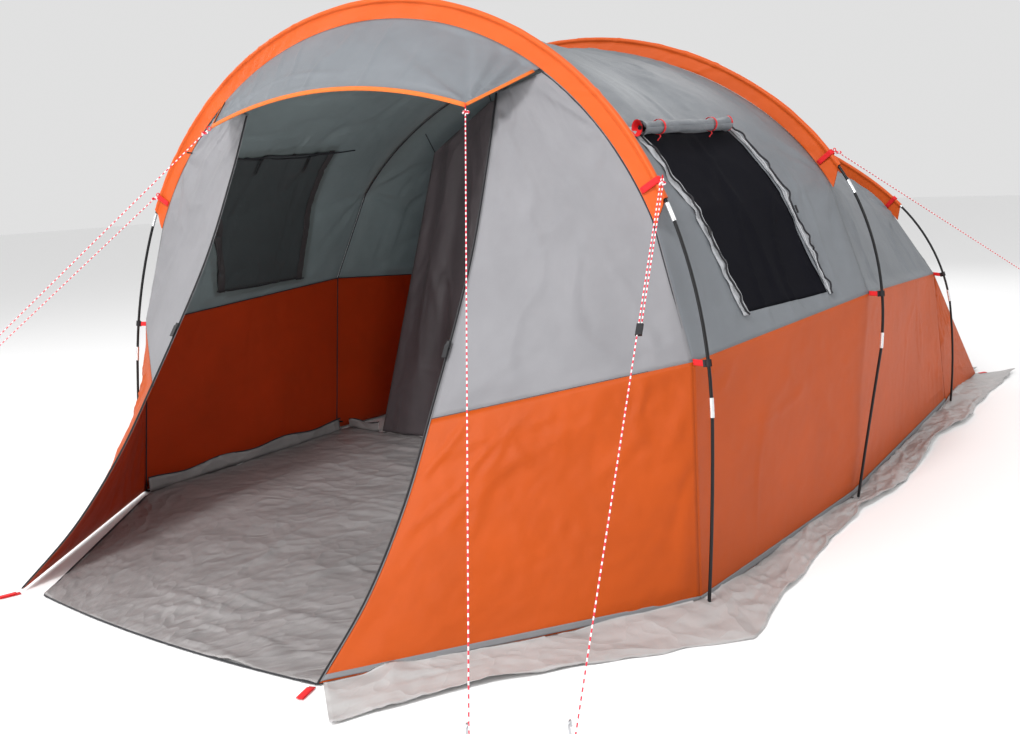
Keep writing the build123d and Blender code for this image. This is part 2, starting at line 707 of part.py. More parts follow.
STRAP_WIDTH = 20
STRAP_THICK = 1.5
STRAP_ANGLE = 42.2
STRAP_OUT = 13
GUY_RING_R = 7
GUY_RING_WIRE = 1.7
with BuildPart() as sleeve_straps:
    for arch in ARCHES:
        for angle in (-STRAP_ANGLE, STRAP_ANGLE):
            plane = radial_plane(arch, angle)
            inside = -SLEEVE_DEPTH + 4
            half = SLEEVE_TUNNEL + 0.4
            with BuildSketch(plane.offset(-STRAP_WIDTH / 2)) as section:
                with Locations(((inside + STRAP_OUT) / 2, 0)):
                    Rectangle(STRAP_OUT - inside, 2 * (half + STRAP_THICK))
                with Locations(((inside + STRAP_OUT) / 2 - STRAP_THICK, 0)):
                    Rectangle(STRAP_OUT - inside, 2 * half, mode=Mode.SUBTRACT)
            extrude(section.sketch, amount=STRAP_WIDTH)
save(sleeve_straps, "sleeve_straps")


def ring_centre(arch, degrees):
    plane = radial_plane(arch, degrees)
    return plane.from_local_coords(Vector(STRAP_OUT + GUY_RING_R + GUY_RING_WIRE + 0.5, 0, 0))


CLIP_R = 10
CLIP_BORE = 6.4
CLIP_HALF = 11
CLIP_SLOT = 7
with BuildPart() as pole_clips:
    for arch in ARCHES:
        for angle in (-CLIP_ANGLE, CLIP_ANGLE):
            plane = radial_plane(arch, angle)
            with BuildSketch(plane.offset(-CLIP_HALF)) as section:
                Circle(CLIP_R)
                with Locations((-CLIP_R - 2, 0)):
                    Rectangle(10, 5)
                Circle(CLIP_BORE, mode=Mode.SUBTRACT)
                with Locations((CLIP_R, 0)):
                    Rectangle(2 * CLIP_R, CLIP_SLOT, mode=Mode.SUBTRACT)
            extrude(section.sketch, amount=2 * CLIP_HALF)
save(pole_clips, "pole_clips")

with BuildPart() as clip_straps:
    for arch in ARCHES:
        for side in (-1, 1):
            plane = radial_plane(arch, side * CLIP_ANGLE)
            start = plane.from_local_coords(Vector(-CLIP_R - 14, 0, 0))
            end = in_space(arch, seam_point(arch, side, -1))
            way = end - start
            strap_plane = Plane(origin=start, x_dir=Vector(*arch_plane(arch).z_dir), z_dir=way)
            with BuildSketch(strap_plane) as section:
                Rectangle(2, STRAP_WIDTH)
            extrude(section.sketch, amount=way.length - 1)
save(clip_straps, "clip_straps")

WEB_LENGTH = 40
WEB_WIDTH = 22
WEB_Z = 5.1
WEB_THICK = 1.2
with BuildPart() as foot_webbing:
    for arch in ARCHES:
        for side in (-1, 1):
            foot = in_space(arch, on_arch(arch, 90 * side))
            with BuildSketch(Plane.XY.offset(WEB_Z)) as section:
                with Locations((foot.X - side * 42, foot.Y)):
                    Rectangle(WEB_LENGTH, WEB_WIDTH)
            extrude(section.sketch, amount=WEB_THICK)
save(foot_webbing, "foot_webbing")

with BuildPart() as groundsheet_hooks:
    for side in (-1, 1):
        for x, y in GROUNDSHEET_SIDE[:2]:
            with BuildSketch(Plane.XY.offset(RIM_HEIGHT - 26)) as section:
                with Locations((side * (x + 13), y + 16)):
                    Rectangle(24, 9)
            extrude(section.sketch, amount=7)
save(groundsheet_hooks, "groundsheet_hooks")

CORNER_STRAP = (24, 82)
with BuildPart() as corner_straps:
    for side in (-1, 1):
        for (x, y), turn in ((PORCH_CORNER, 35), (REAR_CORNER, 150)):
            with BuildSketch(Plane.XY.offset(FLAP_THICK + 0.5)) as section:
                with Locations(Location((side * (x + 12), y + (-22 if y < 0 else 40), 0), (0, 0, side * turn))):
                    SlotOverall(CORNER_STRAP[1], CORNER_STRAP[0], rotation=90)
            extrude(section.sketch, amount=2)
save(corner_straps, "corner_straps")


# ---------------------------------------------------------------- guy lines
AWNING_RING = Vector(606, -1640, 1544)
GUY_HOLD_Z = 90
PEG_R = 3
PEG_TOP = 175
RUNNER = (16, 9, 38)
RUNNER_BORE = GUY_R + 0.35

# name, anchor ring's centre, the spot on the ground that the line points at, runner's share of the way
left_ring = Vector(-AWNING_RING.X, AWNING_RING.Y, AWNING_RING.Z)
GUYS = [
    ("awning_right", AWNING_RING, Vector(1400, -2800, 0), None),
    ("awning_left", left_ring, Vector(-1950, -2800, 0), 0.80),
    ("front_right", ring_centre(FRONT_ARCH, STRAP_ANGLE), Vector(1575, -2690, 0), 0.33),
    ("front_left", ring_centre(FRONT_ARCH, -STRAP_ANGLE), Vector(-2150, -2630, 0), 0.80),
    ("middle_right", ring_centre(MIDDLE_ARCH, STRAP_ANGLE), Vector(2400, 2650, 0), 0.82),
]
DOUBLE_GAP = 4.1  # half the distance between a doubled line's two runs
DOUBLED = "front_right"


def sideways(way):
    return way.cross(Vector(0, 0, 1)).normalized()


def guy_ends(name, ring, ground):
    """The line's direction, and where its run down to the peg starts and ends."""
    way = (ground - ring).normalized()
    apart = sideways(way) * (DOUBLE_GAP if name == DOUBLED else 0)
    start = ring + way * (GUY_RING_R + GUY_RING_WIRE) + apart
    end = ring + (ground - ring) * (1 - GUY_HOLD_Z / ring.Z) + apart
    return way, start, end


for name, ring, ground, share in GUYS:
    way, start, end = guy_ends(name, ring, ground)
    place = start + (end - start) * (share or 0)
    with BuildPart() as guy:
        with BuildLine() as path:
            if name == DOUBLED:
                apart = sideways(way) * DOUBLE_GAP
                bow = ring + way * (GUY_RING_R - DOUBLE_GAP + 0.1)
                knot = place - apart * 2 - way * (RUNNER[2] / 2 + 0.6)
                FilletPolyline(knot, bow - apart, bow + apart, end, radius=DOUBLE_GAP - 0.2)
            else:
                Line(start, end)
        with BuildSketch(Plane(origin=path.line @ 0, z_dir=path.line % 0)) as section:
            Circle(GUY_R)
        sweep(section.sketch, path=path.line)
    save(guy, f"guy_{name}")
    run = sum(edge.length for edge in path.line.edges())
    print(f"guy_{name}: {run:.0f} mm, from {start} to {end}, volume {guy.part.volume / (math.pi * GUY_R**2 * run):.4f}")
    if share is None:
        continue
    plane = Plane(origin=place, x_dir=sideways(way), z_dir=way).offset(-RUNNER[2] / 2)
    with BuildPart() as guy_runner:
        with BuildSketch(plane) as section:
            with Locations((-DOUBLE_GAP if name == DOUBLED else 0, 0)):
                RectangleRounded(RUNNER[0] + (4 if name == DOUBLED else 0), RUNNER[1], 3)
            Circle(RUNNER_BORE, mode=Mode.SUBTRACT)
            if name == DOUBLED:
                with Locations((-2 * DOUBLE_GAP, 0)):
                    Circle(RUNNER_BORE, mode=Mode.SUBTRACT)
        extrude(section.sketch, amount=RUNNER[2])
    save(guy_runner, f"runner_{name}")
    print(f"runner_{name}: at {place}, slides along {way}")

with BuildPart() as guy_rings:
    for name, ring, ground, share in GUYS:
        way = (ground - ring).normalized()
        with Locations(Plane(origin=ring, x_dir=way, z_dir=sideways(way))):
            Torus(GUY_RING_R, GUY_RING_WIRE)
save(guy_rings, "guy_rings")

with BuildPart() as pegs:
    for name, ring, ground, share in GUYS:
        way, start, end = guy_ends(name, ring, ground)
        flat = Vector(way.X, way.Y, 0).normalized()
        lean = (flat * 0.35 + Vector(0, 0, 1)).normalized()
        axis_at = end + flat * (PEG_R + 1.5)
        tip = axis_at - lean * (axis_at.Z / lean.Z) + lean * 2
        top = tip + lean * PEG_TOP
        hook = top + flat * -16
        with BuildLine() as path:
            FilletPolyline(tip, top, hook, hook - lean * 18, radius=7)
        with BuildSketch(Plane(origin=path.line @ 0, z_dir=path.line % 0)) as section:
            Circle(PEG_R)
        sweep(section.sketch, path=path.line)
save(pegs, "pegs")
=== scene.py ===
import itertools
import math
from collections import namedtuple

import bmesh
import bpy
import numpy as np
from mathutils import Matrix, Vector


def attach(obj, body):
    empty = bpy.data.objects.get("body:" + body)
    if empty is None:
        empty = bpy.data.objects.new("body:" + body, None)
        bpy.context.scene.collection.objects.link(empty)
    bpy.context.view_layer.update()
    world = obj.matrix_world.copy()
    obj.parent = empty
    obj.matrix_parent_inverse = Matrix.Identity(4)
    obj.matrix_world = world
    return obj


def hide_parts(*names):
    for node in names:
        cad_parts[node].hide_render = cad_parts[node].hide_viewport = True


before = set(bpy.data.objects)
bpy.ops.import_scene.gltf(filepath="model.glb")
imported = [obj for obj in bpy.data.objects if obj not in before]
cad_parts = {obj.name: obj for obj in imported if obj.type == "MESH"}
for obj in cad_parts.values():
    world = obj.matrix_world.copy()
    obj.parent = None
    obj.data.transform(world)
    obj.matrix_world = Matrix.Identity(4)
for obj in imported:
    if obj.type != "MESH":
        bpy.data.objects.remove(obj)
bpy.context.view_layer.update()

# ---------------------------------------------------------------- camera
CAMERA_AT = Vector((2.754, -4.489, 1.345))
CAMERA_YAW = math.radians(35.33)
CAMERA_PITCH = math.radians(-10.13)
CAMERA_ROLL = math.radians(-2.47)
CAMERA_LENS = 39.03


def make_camera():
    ahead = Vector((
        -math.sin(CAMERA_YAW) * math.cos(CAMERA_PITCH),
        math.cos(CAMERA_YAW) * math.cos(CAMERA_PITCH),
        math.sin(CAMERA_PITCH),
    ))
    level = Vector((math.cos(CAMERA_YAW), math.sin(CAMERA_YAW), 0))
    upright = level.cross(ahead)
    right = math.cos(CAMERA_ROLL) * level + math.sin(CAMERA_ROLL) * upright
    up = -math.sin(CAMERA_ROLL) * level + math.cos(CAMERA_ROLL) * upright
    data = bpy.data.cameras.new("camera")
    data.lens = CAMERA_LENS
    data.sensor_width = 36
    camera = bpy.data.objects.new("camera", data)
    camera.matrix_world = Matrix.Translation(CAMERA_AT) @ Matrix((right, up, -ahead)).transposed().to_4x4()
    bpy.context.collection.objects.link(camera)
    bpy.context.scene.camera = camera


make_camera()


# ---------------------------------------------------------------- the tent's own shape, as in the CAD
Arch = namedtuple("Arch", "y lean r0 r2 r4 r6")
FRONT_ARCH = Arch(-1.550, 4.5, 1.693, 0.290, -0.026, 0.0)
MIDDLE_ARCH = Arch(-0.280, 8.0, 1.753, 0.229, -0.075, 0.021)
REAR_ARCH = Arch(1.620, 0.5, 1.455, 0.085, -0.027, 0.023)
ARCHES = {"front": FRONT_ARCH, "middle": MIDDLE_ARCH, "rear": REAR_ARCH}

SLEEVE_END = 44.6
SLEEVE_DEPTH = 0.062
FLY_INSET = 0.063
CLIP_ANGLE = 61.0
CLIP_REACH = 0.050
FOOT_REACH = 0.028
HEM_Z = 0.007
GAP = 0.001
STRAP_ANGLE = 42.2

DOOR_TOP = (0.600, -1.630, 1.550)
DOOR_SLOPE = 0.100 / 1.550
DOOR_EDGE = np.array([
    (-1.448, 1.600), (-1.545, 1.355), (-1.700, 1.027), (-1.966, 0.610),
    (-2.125, 0.380), (-2.320, 0.170), (-2.540, 0.009),
])
DOOR_SEAM_AT = 3  # which point of the door's edge is on the colour seam
PORCH_ANGLE = 24.8
AWNING_ANGLE = 24.2
AWNING_RISE = 0.090
REAR_CORNER = (1.250, 2.510)
REAR_HEM_RISE = 0.025
WINDOW = np.array([(-1.232, 1.450), (-0.560, 1.462), (-0.496, 0.850), (-1.076, 0.850)])

ROOM_FRONT = [(1.120, 0.0), (0.830, 1.450), (0.490, 1.685), (0.0, 1.735)]
ROOM_REAR = [(1.060, 0.0), (0.790, 0.960), (0.450, 1.190), (0.0, 1.230)]
ROOM_BACK = [(1.000, 0.0), (0.760, 0.150), (0.430, 0.190), (0.0, 0.205)]
ROOM_FRONT_GAP = 0.060
ROOM_BACK_Y = 2.290
ROOM_FOOT = 0.015
BEDROOM_DOOR = [(-0.30, 0.06), (0.52, 0.06), (0.52, 1.0), (0.33, 1.33), (0.06, 1.40), (-0.20, 1.28),
                (-0.30, 1.0)]


def on_arch(arch, degrees, inset=0.0):
    p = np.radians(degrees)
    r = arch.r0 + arch.r2 * np.cos(2 * p) + arch.r4 * np.cos(4 * p) + arch.r6 * np.cos(6 * p) - inset
    return r * np.sin(p), r * np.cos(p)


def in_space(arch, x, h, forward=0.0):
    """Points of an arch's leaning plane, from their place across it and up it."""
    t = math.radians(arch.lean)
    x, h, forward = np.broadcast_arrays(x, h, forward)
    return np.stack([x, arch.y + h * math.sin(t) - forward * math.cos(t),
                     h * math.cos(t) + forward * math.sin(t)], -1)


def roof_line(arch, degrees):
    """The fly's line in an arch's plane: under the sleeve, then straight to the colour seam."""
    a = np.abs(degrees)
    x, h = on_arch(arch, np.minimum(a, SLEEVE_END), FLY_INSET)
    seam_x, seam_h = on_arch(arch, CLIP_ANGLE)
    down = np.maximum((a - SLEEVE_END) / (CLIP_ANGLE - SLEEVE_END), 0)
    return np.sign(degrees) * (x + (seam_x - CLIP_REACH - x) * down), h + (seam_h - h) * down


def wall_line(arch, side, down):
    """The lower wall's line in an arch's plane, from the colour seam to the ground."""
    seam_x, seam_h = on_arch(arch, CLIP_ANGLE)
    foot_x, _ = on_arch(arch, 90.0)
    x = seam_x - CLIP_REACH + (foot_x - FOOT_REACH - seam_x + CLIP_REACH) * down
    return side * x, seam_h + (HEM_Z - seam_h) * down


def between(first, second, share):
    return first + (second - first) * np.asarray(share)[..., None]


def smooth_line(points, t):
    """A curve through points; t runs from 0 to the number of points less one."""
    points = np.asarray(points, float)
    padded = np.concatenate([[2 * points[0] - points[1]], points, [2 * points[-1] - points[-2]]])
    i = np.clip(np.floor(t).astype(int), 0, len(points) - 2)
    f = (t - i)[..., None]
    p0, p1, p2, p3 = (padded[i + k] for k in range(4))
    return 0.5 * (2 * p1 + (p2 - p0) * f + (2 * p0 - 5 * p1 + 4 * p2 - p3) * f**2
                  + (3 * p1 - p0 - 3 * p2 + p3) * f**3)


# ---------------------------------------------------------------- how cloth creases
LATTICE = np.random.default_rng(5).uniform(-1, 1, (16, 16, 16))


def noise(x, y, z=0.0):
    """Smooth noise from -1 to 1."""
    total = 0.0
    parts = []
    for v in np.broadcast_arrays(np.asarray(x, float), y, z):
        cell = np.floor(v)
        f = v - cell
        parts.append((cell.astype(int), f * f * (3 - 2 * f)))
    for corner in itertools.product((0, 1), repeat=3):
        weight = 1.0
        place = []
        for (cell, f), c in zip(parts, corner):
            weight = weight * (f if c else 1 - f)
            place.append((cell + c) % 16)
        total = total + weight * LATTICE[tuple(place)]
    return total


def creases(s, t, long, short, seed):
    """Thin ridges from 0 to 1 that run along s, long metres long and short metres apart."""
    bent = t / short + 0.5 * noise(s / long, t / short * 0.4, seed + 9.3)
    patch = np.clip(0.35 + 1.1 * noise(s / (1.5 * long), t / (4 * short), seed + 4.1), 0, 1)
    return np.exp(-((noise(s / long, bent, seed) / 0.15) ** 2)) * patch


SWELL_GAIN = 1.8
CREASE_GAIN = 3.0
CRUMPLE_GAIN = 1.6


def taut(seed, swell=0.004, crease=0.0022, crumple=0.0006, turn=0.0):
    """The push of a stretched sheet: a slow swell, creases along and across, and a fine crumple."""
    def push(s, t, u, v):
        a = s * math.cos(turn) + t * math.sin(turn)
        b = t * math.cos(turn) - s * math.sin(turn)
        return (
            SWELL_GAIN * swell * noise(a / 0.45, b / 0.30, seed)
            + CREASE_GAIN * crease * (
                creases(a, b, 0.40, 0.085, seed + 1) + 0.7 * creases(b, a, 0.33, 0.11, seed + 2)
            )
            + CRUMPLE_GAIN * crumple * noise(s / 0.035, t / 0.03, seed + 3)
        )
    return push


def fan(s, t, centre, rays, seed):
    """Folds that spread from a point where the cloth is pulled, from -1 to 1."""
    ds, dt = s - centre[0], t - centre[1]
    far = np.hypot(ds, dt)
    angle = np.arctan2(dt, ds)
    return noise(angle * rays / 2, far / 1.2, seed) * np.clip(far / 0.06, 0, 1) * np.exp(-far / 0.42)


def step(x):
    x = np.clip(x, 0, 1)
    return x * x * (3 - 2 * x)


# ---------------------------------------------------------------- materials
def link(tree, a, b):
    tree.links.new(a, b)


def new_material(name, colour, rough, metal=0.0):
    material = bpy.data.materials.new(name)
    material.use_nodes = True
    tree = material.node_tree
    shader = tree.nodes["Principled BSDF"]
    shader.inputs["Base Color"].default_value = (*colour, 1)
    shader.inputs["Roughness"].default_value = rough
    shader.inputs["Metallic"].default_value = metal
    return material, tree, shader


def add(tree, kind, **values):
    node = tree.nodes.new(kind)
    for key, value in values.items():
        if hasattr(node, key):
            setattr(node, key, value)
        else:
            node.inputs[key.replace("_", " ")].default_value = value
    return node


def coordinates(tree, flat):
    """Metres along the cloth where a sheet has them, or metres in space."""
    return add(tree, "ShaderNodeTexCoord").outputs["UV" if flat else "Object"]


def uneven_colour(tree, shader, place, colour, amount, scale):
    clouds = add(tree, "ShaderNodeTexNoise", Scale=scale, Detail=5.0, Roughness=0.6)
    link(tree, place, clouds.inputs["Vector"])
    ramp = add(tree, "ShaderNodeValToRGB")
    ramp.color_ramp.elements[0].position = 0.3
    ramp.color_ramp.elements[1].position = 0.7
    ramp.color_ramp.elements[0].color = (*[c * (1 - amount) for c in colour], 1)
    ramp.color_ramp.elements[1].color = (*[min(c * (1 + amount), 1) for c in colour], 1)
    link(tree, clouds.outputs["Fac"], ramp.inputs["Fac"])
    link(tree, ramp.outputs["Color"], shader.inputs["Base Color"])
    return ramp.outputs["Color"]


def bumps(tree, shader, layers):
    """Stacks bump layers: each is a texture node's output with its height in metres."""
    normal = None
    for output, height in layers:
        bump = add(tree, "ShaderNodeBump", Distance=height, Strength=1.0)
        link(tree, output, bump.inputs["Height"])
        if normal is not None:
            link(tree, normal, bump.inputs["Normal"])
        normal = bump.outputs["Normal"]
    link(tree, normal, shader.inputs["Normal"])
    return normal


def weave_height(tree, place, pitch):
    """Threads over and under each other."""
    waves = []
    for direction in ("X", "Y"):
        wave = add(tree, "ShaderNodeTexWave", bands_direction=direction, Scale=0.314 / pitch)
        link(tree, place, wave.inputs["Vector"])
        waves.append(wave.outputs["Fac"])
    both = add(tree, "ShaderNodeMath", operation="MULTIPLY")
    link(tree, waves[0], both.inputs[0])
    link(tree, waves[1], both.inputs[1])
    return both.outputs["Value"]


def crinkle_height(tree, place, scale, kind="RIDGED_MULTIFRACTAL"):
    ridges = add(tree, "ShaderNodeTexNoise", noise_type=kind, Scale=scale, Detail=4.0, Roughness=0.55)
    link(tree, place, ridges.inputs["Vector"])
    return ridges.outputs["Fac"]


def facet_height(tree, place, scale):
    """Flat facets with folds between them, as in a sheet of crumpled plastic."""
    warp = add(tree, "ShaderNodeTexNoise", Scale=scale * 0.6, Detail=2.0)
    link(tree, place, warp.inputs["Vector"])
    mixed = add(tree, "ShaderNodeMix", data_type="VECTOR", Factor=0.25)
    link(tree, place, mixed.inputs[4])
    link(tree, warp.outputs["Color"], mixed.inputs[5])
    cells = add(tree, "ShaderNodeTexVoronoi", feature="F1", Scale=scale)
    link(tree, mixed.outputs[1], cells.inputs["Vector"])
    return cells.outputs["Distance"]


def fabric(name, colour, rough=0.55, pitch=0.0012, wrinkle=0.0012, scale=14.0, glow=0.0, uneven=0.07,
           facets=0.0, flat=True, sheen=0.06, gloss=0.3):
    material, tree, shader = new_material(name, colour, rough)
    shader.inputs["Specular IOR Level"].default_value = gloss
    place = coordinates(tree, flat)
    tint = uneven_colour(tree, shader, place, colour, uneven, 3.0)
    shader.inputs["Sheen Weight"].default_value = sheen
    layers = [(crinkle_height(tree, place, scale), wrinkle), (weave_height(tree, place, pitch), pitch * 0.12)]
    if facets:
        layers.insert(0, (facet_height(tree, place, 9.0), facets))
    normal = bumps(tree, shader, layers)
    if glow:
        through = add(tree, "ShaderNodeBsdfTranslucent")
        link(tree, tint, through.inputs["Color"])
        link(tree, normal, through.inputs["Normal"])
        mix = add(tree, "ShaderNodeMixShader", Fac=glow)
        link(tree, shader.outputs["BSDF"], mix.inputs[1])
        link(tree, through.outputs["BSDF"], mix.inputs[2])
        link(tree, mix.outputs["Shader"], tree.nodes["Material Output"].inputs["Surface"])
    return material


def hard(name, colour, rough, metal=0.0, grain=60.0, height=0.0002, uneven=0.12, gloss=0.3):
    material, tree, shader = new_material(name, colour, rough, metal)
    shader.inputs["Specular IOR Level"].default_value = gloss
    place = coordinates(tree, False)
    uneven_colour(tree, shader, place, colour, uneven, grain * 0.4)
    worn = add(tree, "ShaderNodeTexNoise", Scale=grain, Detail=4.0)
    link(tree, place, worn.inputs["Vector"])
    spread = add(tree, "ShaderNodeMapRange")
    spread.inputs["To Min"].default_value = max(rough - 0.12, 0.05)
    spread.inputs["To Max"].default_value = rough + 0.12
    link(tree, worn.outputs["Fac"], spread.inputs["Value"])
    link(tree, spread.outputs["Result"], shader.inputs["Roughness"])
    bumps(tree, shader, [(worn.outputs["Fac"], height)])
    return material


def braid(name, way, first, second, pitch):
    """A cord's two colours wound round it, in bands along its own direction."""
    material, tree, shader = new_material(name, first, 0.6)
    place = coordinates(tree, False)
    along = add(tree, "ShaderNodeVectorMath", operation="DOT_PRODUCT")
    link(tree, place, along.inputs[0])
    along.inputs[1].default_value = tuple(np.asarray(way) / pitch)
    part = add(tree, "ShaderNodeMath", operation="FRACT")
    link(tree, along.outputs["Value"], part.inputs[0])
    ramp = add(tree, "ShaderNodeValToRGB")
    ramp.color_ramp.interpolation = "CONSTANT"
    ramp.color_ramp.elements[0].color = (*first, 1)
    ramp.color_ramp.elements[1].position = 0.52
    ramp.color_ramp.elements[1].color = (*second, 1)
    link(tree, part.outputs["Value"], ramp.inputs["Fac"])
    link(tree, ramp.outputs["Color"], shader.inputs["Base Color"])
    bumps(tree, shader, [(part.outputs["Value"], 0.0004)])
    return material


GREY = (0.262, 0.280, 0.305)
PORCH_GREY = (0.335, 0.330, 0.350)
# the fly's inside face is painted lighter and greener than the outside grey: painted light coming through the
# cloth
GREY_INSIDE_LIT = (0.34, 0.40, 0.40)
ORANGE = (0.52, 0.076, 0.002)
ORANGE_INSIDE = (0.58, 0.060, 0.006)
RED = (0.72, 0.012, 0.016)
BLACK = (0.014, 0.014, 0.016)

fly_grey = fabric("fly_grey", GREY, rough=0.46, glow=0.34, wrinkle=0.0030, scale=11.0)
strip_grey = fabric("strip_grey", (0.40, 0.41, 0.43), rough=0.46, wrinkle=0.004, scale=30.0)
porch_grey = fabric("porch_grey", PORCH_GREY, rough=0.46, glow=0.30, wrinkle=0.0030, scale=11.0)
# inside faces of the grey fly: painted light through the cloth in their colour, on top of the translucent mix
fly_grey_inside_lit = fabric("fly_grey_inside_lit", GREY_INSIDE_LIT, rough=0.5, glow=0.62, wrinkle=0.0022, scale=11.0)
fly_orange = fabric("fly_orange", ORANGE, rough=0.5, glow=0.12, wrinkle=0.0026, scale=12.0, sheen=0.0)
fly_orange_inside = fabric("fly_orange_inside", ORANGE_INSIDE, rough=0.55, glow=0.50, wrinkle=0.0020,
                           scale=12.0)
sleeve_orange = fabric("sleeve_orange", (0.62, 0.090, 0.006), rough=0.5, wrinkle=0.0022, scale=22.0,
                       sheen=0.05)
trim_orange = fabric("trim_orange", (0.66, 0.15, 0.02), rough=0.6, pitch=0.002, wrinkle=0.0004)
charcoal = fabric("charcoal", (0.085, 0.070, 0.075), rough=0.40, wrinkle=0.004, scale=7.0, glow=0.05,
                  uneven=0.18)
floor_cloth = fabric("floor_cloth", (0.275, 0.258, 0.256), rough=0.27, pitch=0.0025, wrinkle=0.004, scale=9.0,
                     facets=0.014, uneven=0.10, sheen=0.0, gloss=0.7)
flap_cloth = fabric("flap_cloth", (0.47, 0.455, 0.45), rough=0.34, pitch=0.0025, wrinkle=0.003, scale=8.0,
                    facets=0.018, uneven=0.10, glow=0.12, sheen=0.0, gloss=0.5)
webbing_red = fabric("webbing_red", RED, rough=0.65, pitch=0.0022, wrinkle=0.0002, flat=False)
webbing_black = fabric("webbing_black", BLACK, rough=0.7, pitch=0.0022, wrinkle=0.0002, flat=False)
piping_black = fabric("piping_black", (0.02, 0.02, 0.024), rough=0.6, pitch=0.002, wrinkle=0.0003, flat=False)
# light grey cord beside each window zip: a painted highlight along the zip's edge
piping_highlight = fabric("piping_highlight", (0.50, 0.51, 0.53), rough=0.6, pitch=0.002, wrinkle=0.0003, flat=False)
hem_grey = fabric("hem_grey", (0.20, 0.20, 0.21), rough=0.6, pitch=0.002, wrinkle=0.0006)
net = fabric("net", (0.007, 0.007, 0.010), rough=0.85, pitch=0.0016, wrinkle=0.0008, scale=8.0, sheen=0.0,
             gloss=0.05)
net_inside = fabric("net_inside", (0.055, 0.065, 0.068), rough=0.75, pitch=0.0016, wrinkle=0.001, glow=0.15)
lining = fabric("lining", (0.045, 0.04, 0.042), rough=0.6, wrinkle=0.001)
rod_black = hard("rod_black", (0.008, 0.008, 0.009), 0.34, grain=90.0, height=0.0001)
ferrule_metal = hard("ferrule_metal", (0.86, 0.87, 0.88), 0.30, 0.85, grain=120.0, height=0.00008,
                     uneven=0.05)
steel = hard("steel", (0.50, 0.51, 0.53), 0.34, 1.0, grain=80.0, height=0.0002)
plastic_black = hard("plastic_black", (0.016, 0.016, 0.018), 0.45, grain=150.0, height=0.0002)
elastic = hard("elastic", (0.014, 0.014, 0.015), 0.65, grain=200.0, height=0.0004)


# ---------------------------------------------------------------- building blocks
def place_object(name, data, material, body="tent", nodes=()):
    piece = bpy.data.objects.new(name, data)
    bpy.context.collection.objects.link(piece)
    for each in material if isinstance(material, (list, tuple)) else [material]:
        data.materials.append(each)
    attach(piece, body)
    if nodes:
        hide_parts(*nodes)
    return piece


def line(name, points, radius, material, nodes=(), closed=False):
    """A thin piping, cord edge or rod that follows points."""
    data = bpy.data.curves.new(name, "CURVE")
    data.dimensions = "3D"
    data.bevel_depth = radius
    data.bevel_resolution = 3
    data.use_fill_caps = True
    spline = data.splines.new("POLY")
    spline.points.add(len(points) - 1)
    for target, point in zip(spline.points, points):
        target.co = (*point, 1)
    spline.use_cyclic_u = closed
    return place_object(name, data, material, nodes=nodes)


def grid_faces(rows, cols, flip=False, wrap=False):
    i, j = np.meshgrid(np.arange(rows - 1), np.arange(cols if wrap else cols - 1), indexing="ij")
    k = (j + 1) % cols
    corners = [i * cols + j, (i + 1) * cols + j, (i + 1) * cols + k, i * cols + k]
    faces = np.stack(corners if not flip else corners[::-1], -1).reshape(-1, 4)
    return faces.tolist()


def grid_mesh(name, points, u, v, flip=False, wrap=False):
    """A mesh on a grid of points, with u and v kept as its UV map."""
    mesh = bpy.data.meshes.new(name)
    rows, cols = points.shape[:2]
    mesh.from_pydata(points.reshape(-1, 3).tolist(), [], grid_faces(rows, cols, flip, wrap))
    layer = mesh.uv_layers.new(name="UVMap")
    index = np.zeros(len(mesh.loops), int)
    mesh.loops.foreach_get("vertex_index", index)
    layer.data.foreach_set("uv", np.stack([u.ravel(), v.ravel()], -1)[index].ravel())
    return mesh


def cut_holes(mesh, holes):
    """Cuts polygons out of a mesh. Each hole is its corners, the axes of its plane, and a side."""
    bm = bmesh.new()
    bm.from_mesh(mesh)
    for corners, axes, side in holes:
        corners = np.asarray(corners)
        count = len(corners)

        def inside(face, grow):
            centre = face.calc_center_median()
            if side and centre.x * side < 0:
                return False
            p = np.array([centre[axes[0]], centre[axes[1]]])
            if grow:
                return bool(np.all(p > corners.min(0) - grow) and np.all(p < corners.max(0) + grow))
            ways = np.roll(corners, -1, 0) - corners
            offs = p - corners
            return len(set(np.sign(ways[:, 0] * offs[:, 1] - ways[:, 1] * offs[:, 0]))) == 1

        for k in range(count):
            a, b = corners[k], corners[(k + 1) % count]
            point, normal = Vector((0, 0, 0)), Vector((0, 0, 0))
            point[axes[0]], point[axes[1]] = a
            normal[axes[0]], normal[axes[1]] = b[1] - a[1], a[0] - b[0]
            near = [f for f in bm.faces if inside(f, 0.05)]
            edges = {e for f in near for e in f.edges}
            verts = {w for f in near for w in f.verts}
            bmesh.ops.bisect_plane(bm, geom=[*near, *edges, *verts], plane_co=point, plane_no=normal)
        bmesh.ops.delete(bm, geom=[f for f in bm.faces if inside(f, 0)], context="FACES")
    bm.to_mesh(mesh)
    bm.free()


def raised(base, u, v, push, flip=False):
    """Points of a base surface, each moved along its normal."""
    e = 1e-3
    normal = np.cross(base(u + e, v) - base(u - e, v), base(u, v + e) - base(u, v - e))
    normal /= np.maximum(np.linalg.norm(normal, axis=-1, keepdims=True), 1e-12)
    return base(u, v) + normal * np.asarray(push)[..., None] * (-1 if flip else 1)


def edge_fade(u, v, size, fade, width=0.07):
    """0 at the edges where a sheet is sewn and 1 away from them."""
    total = 1.0
    for share, length, sewn in zip((u, 1 - u, v, 1 - v), (size[0], size[0], size[1], size[1]), fade):
        total = total * (step(share * length / width) if sewn else 1.0)
    return total


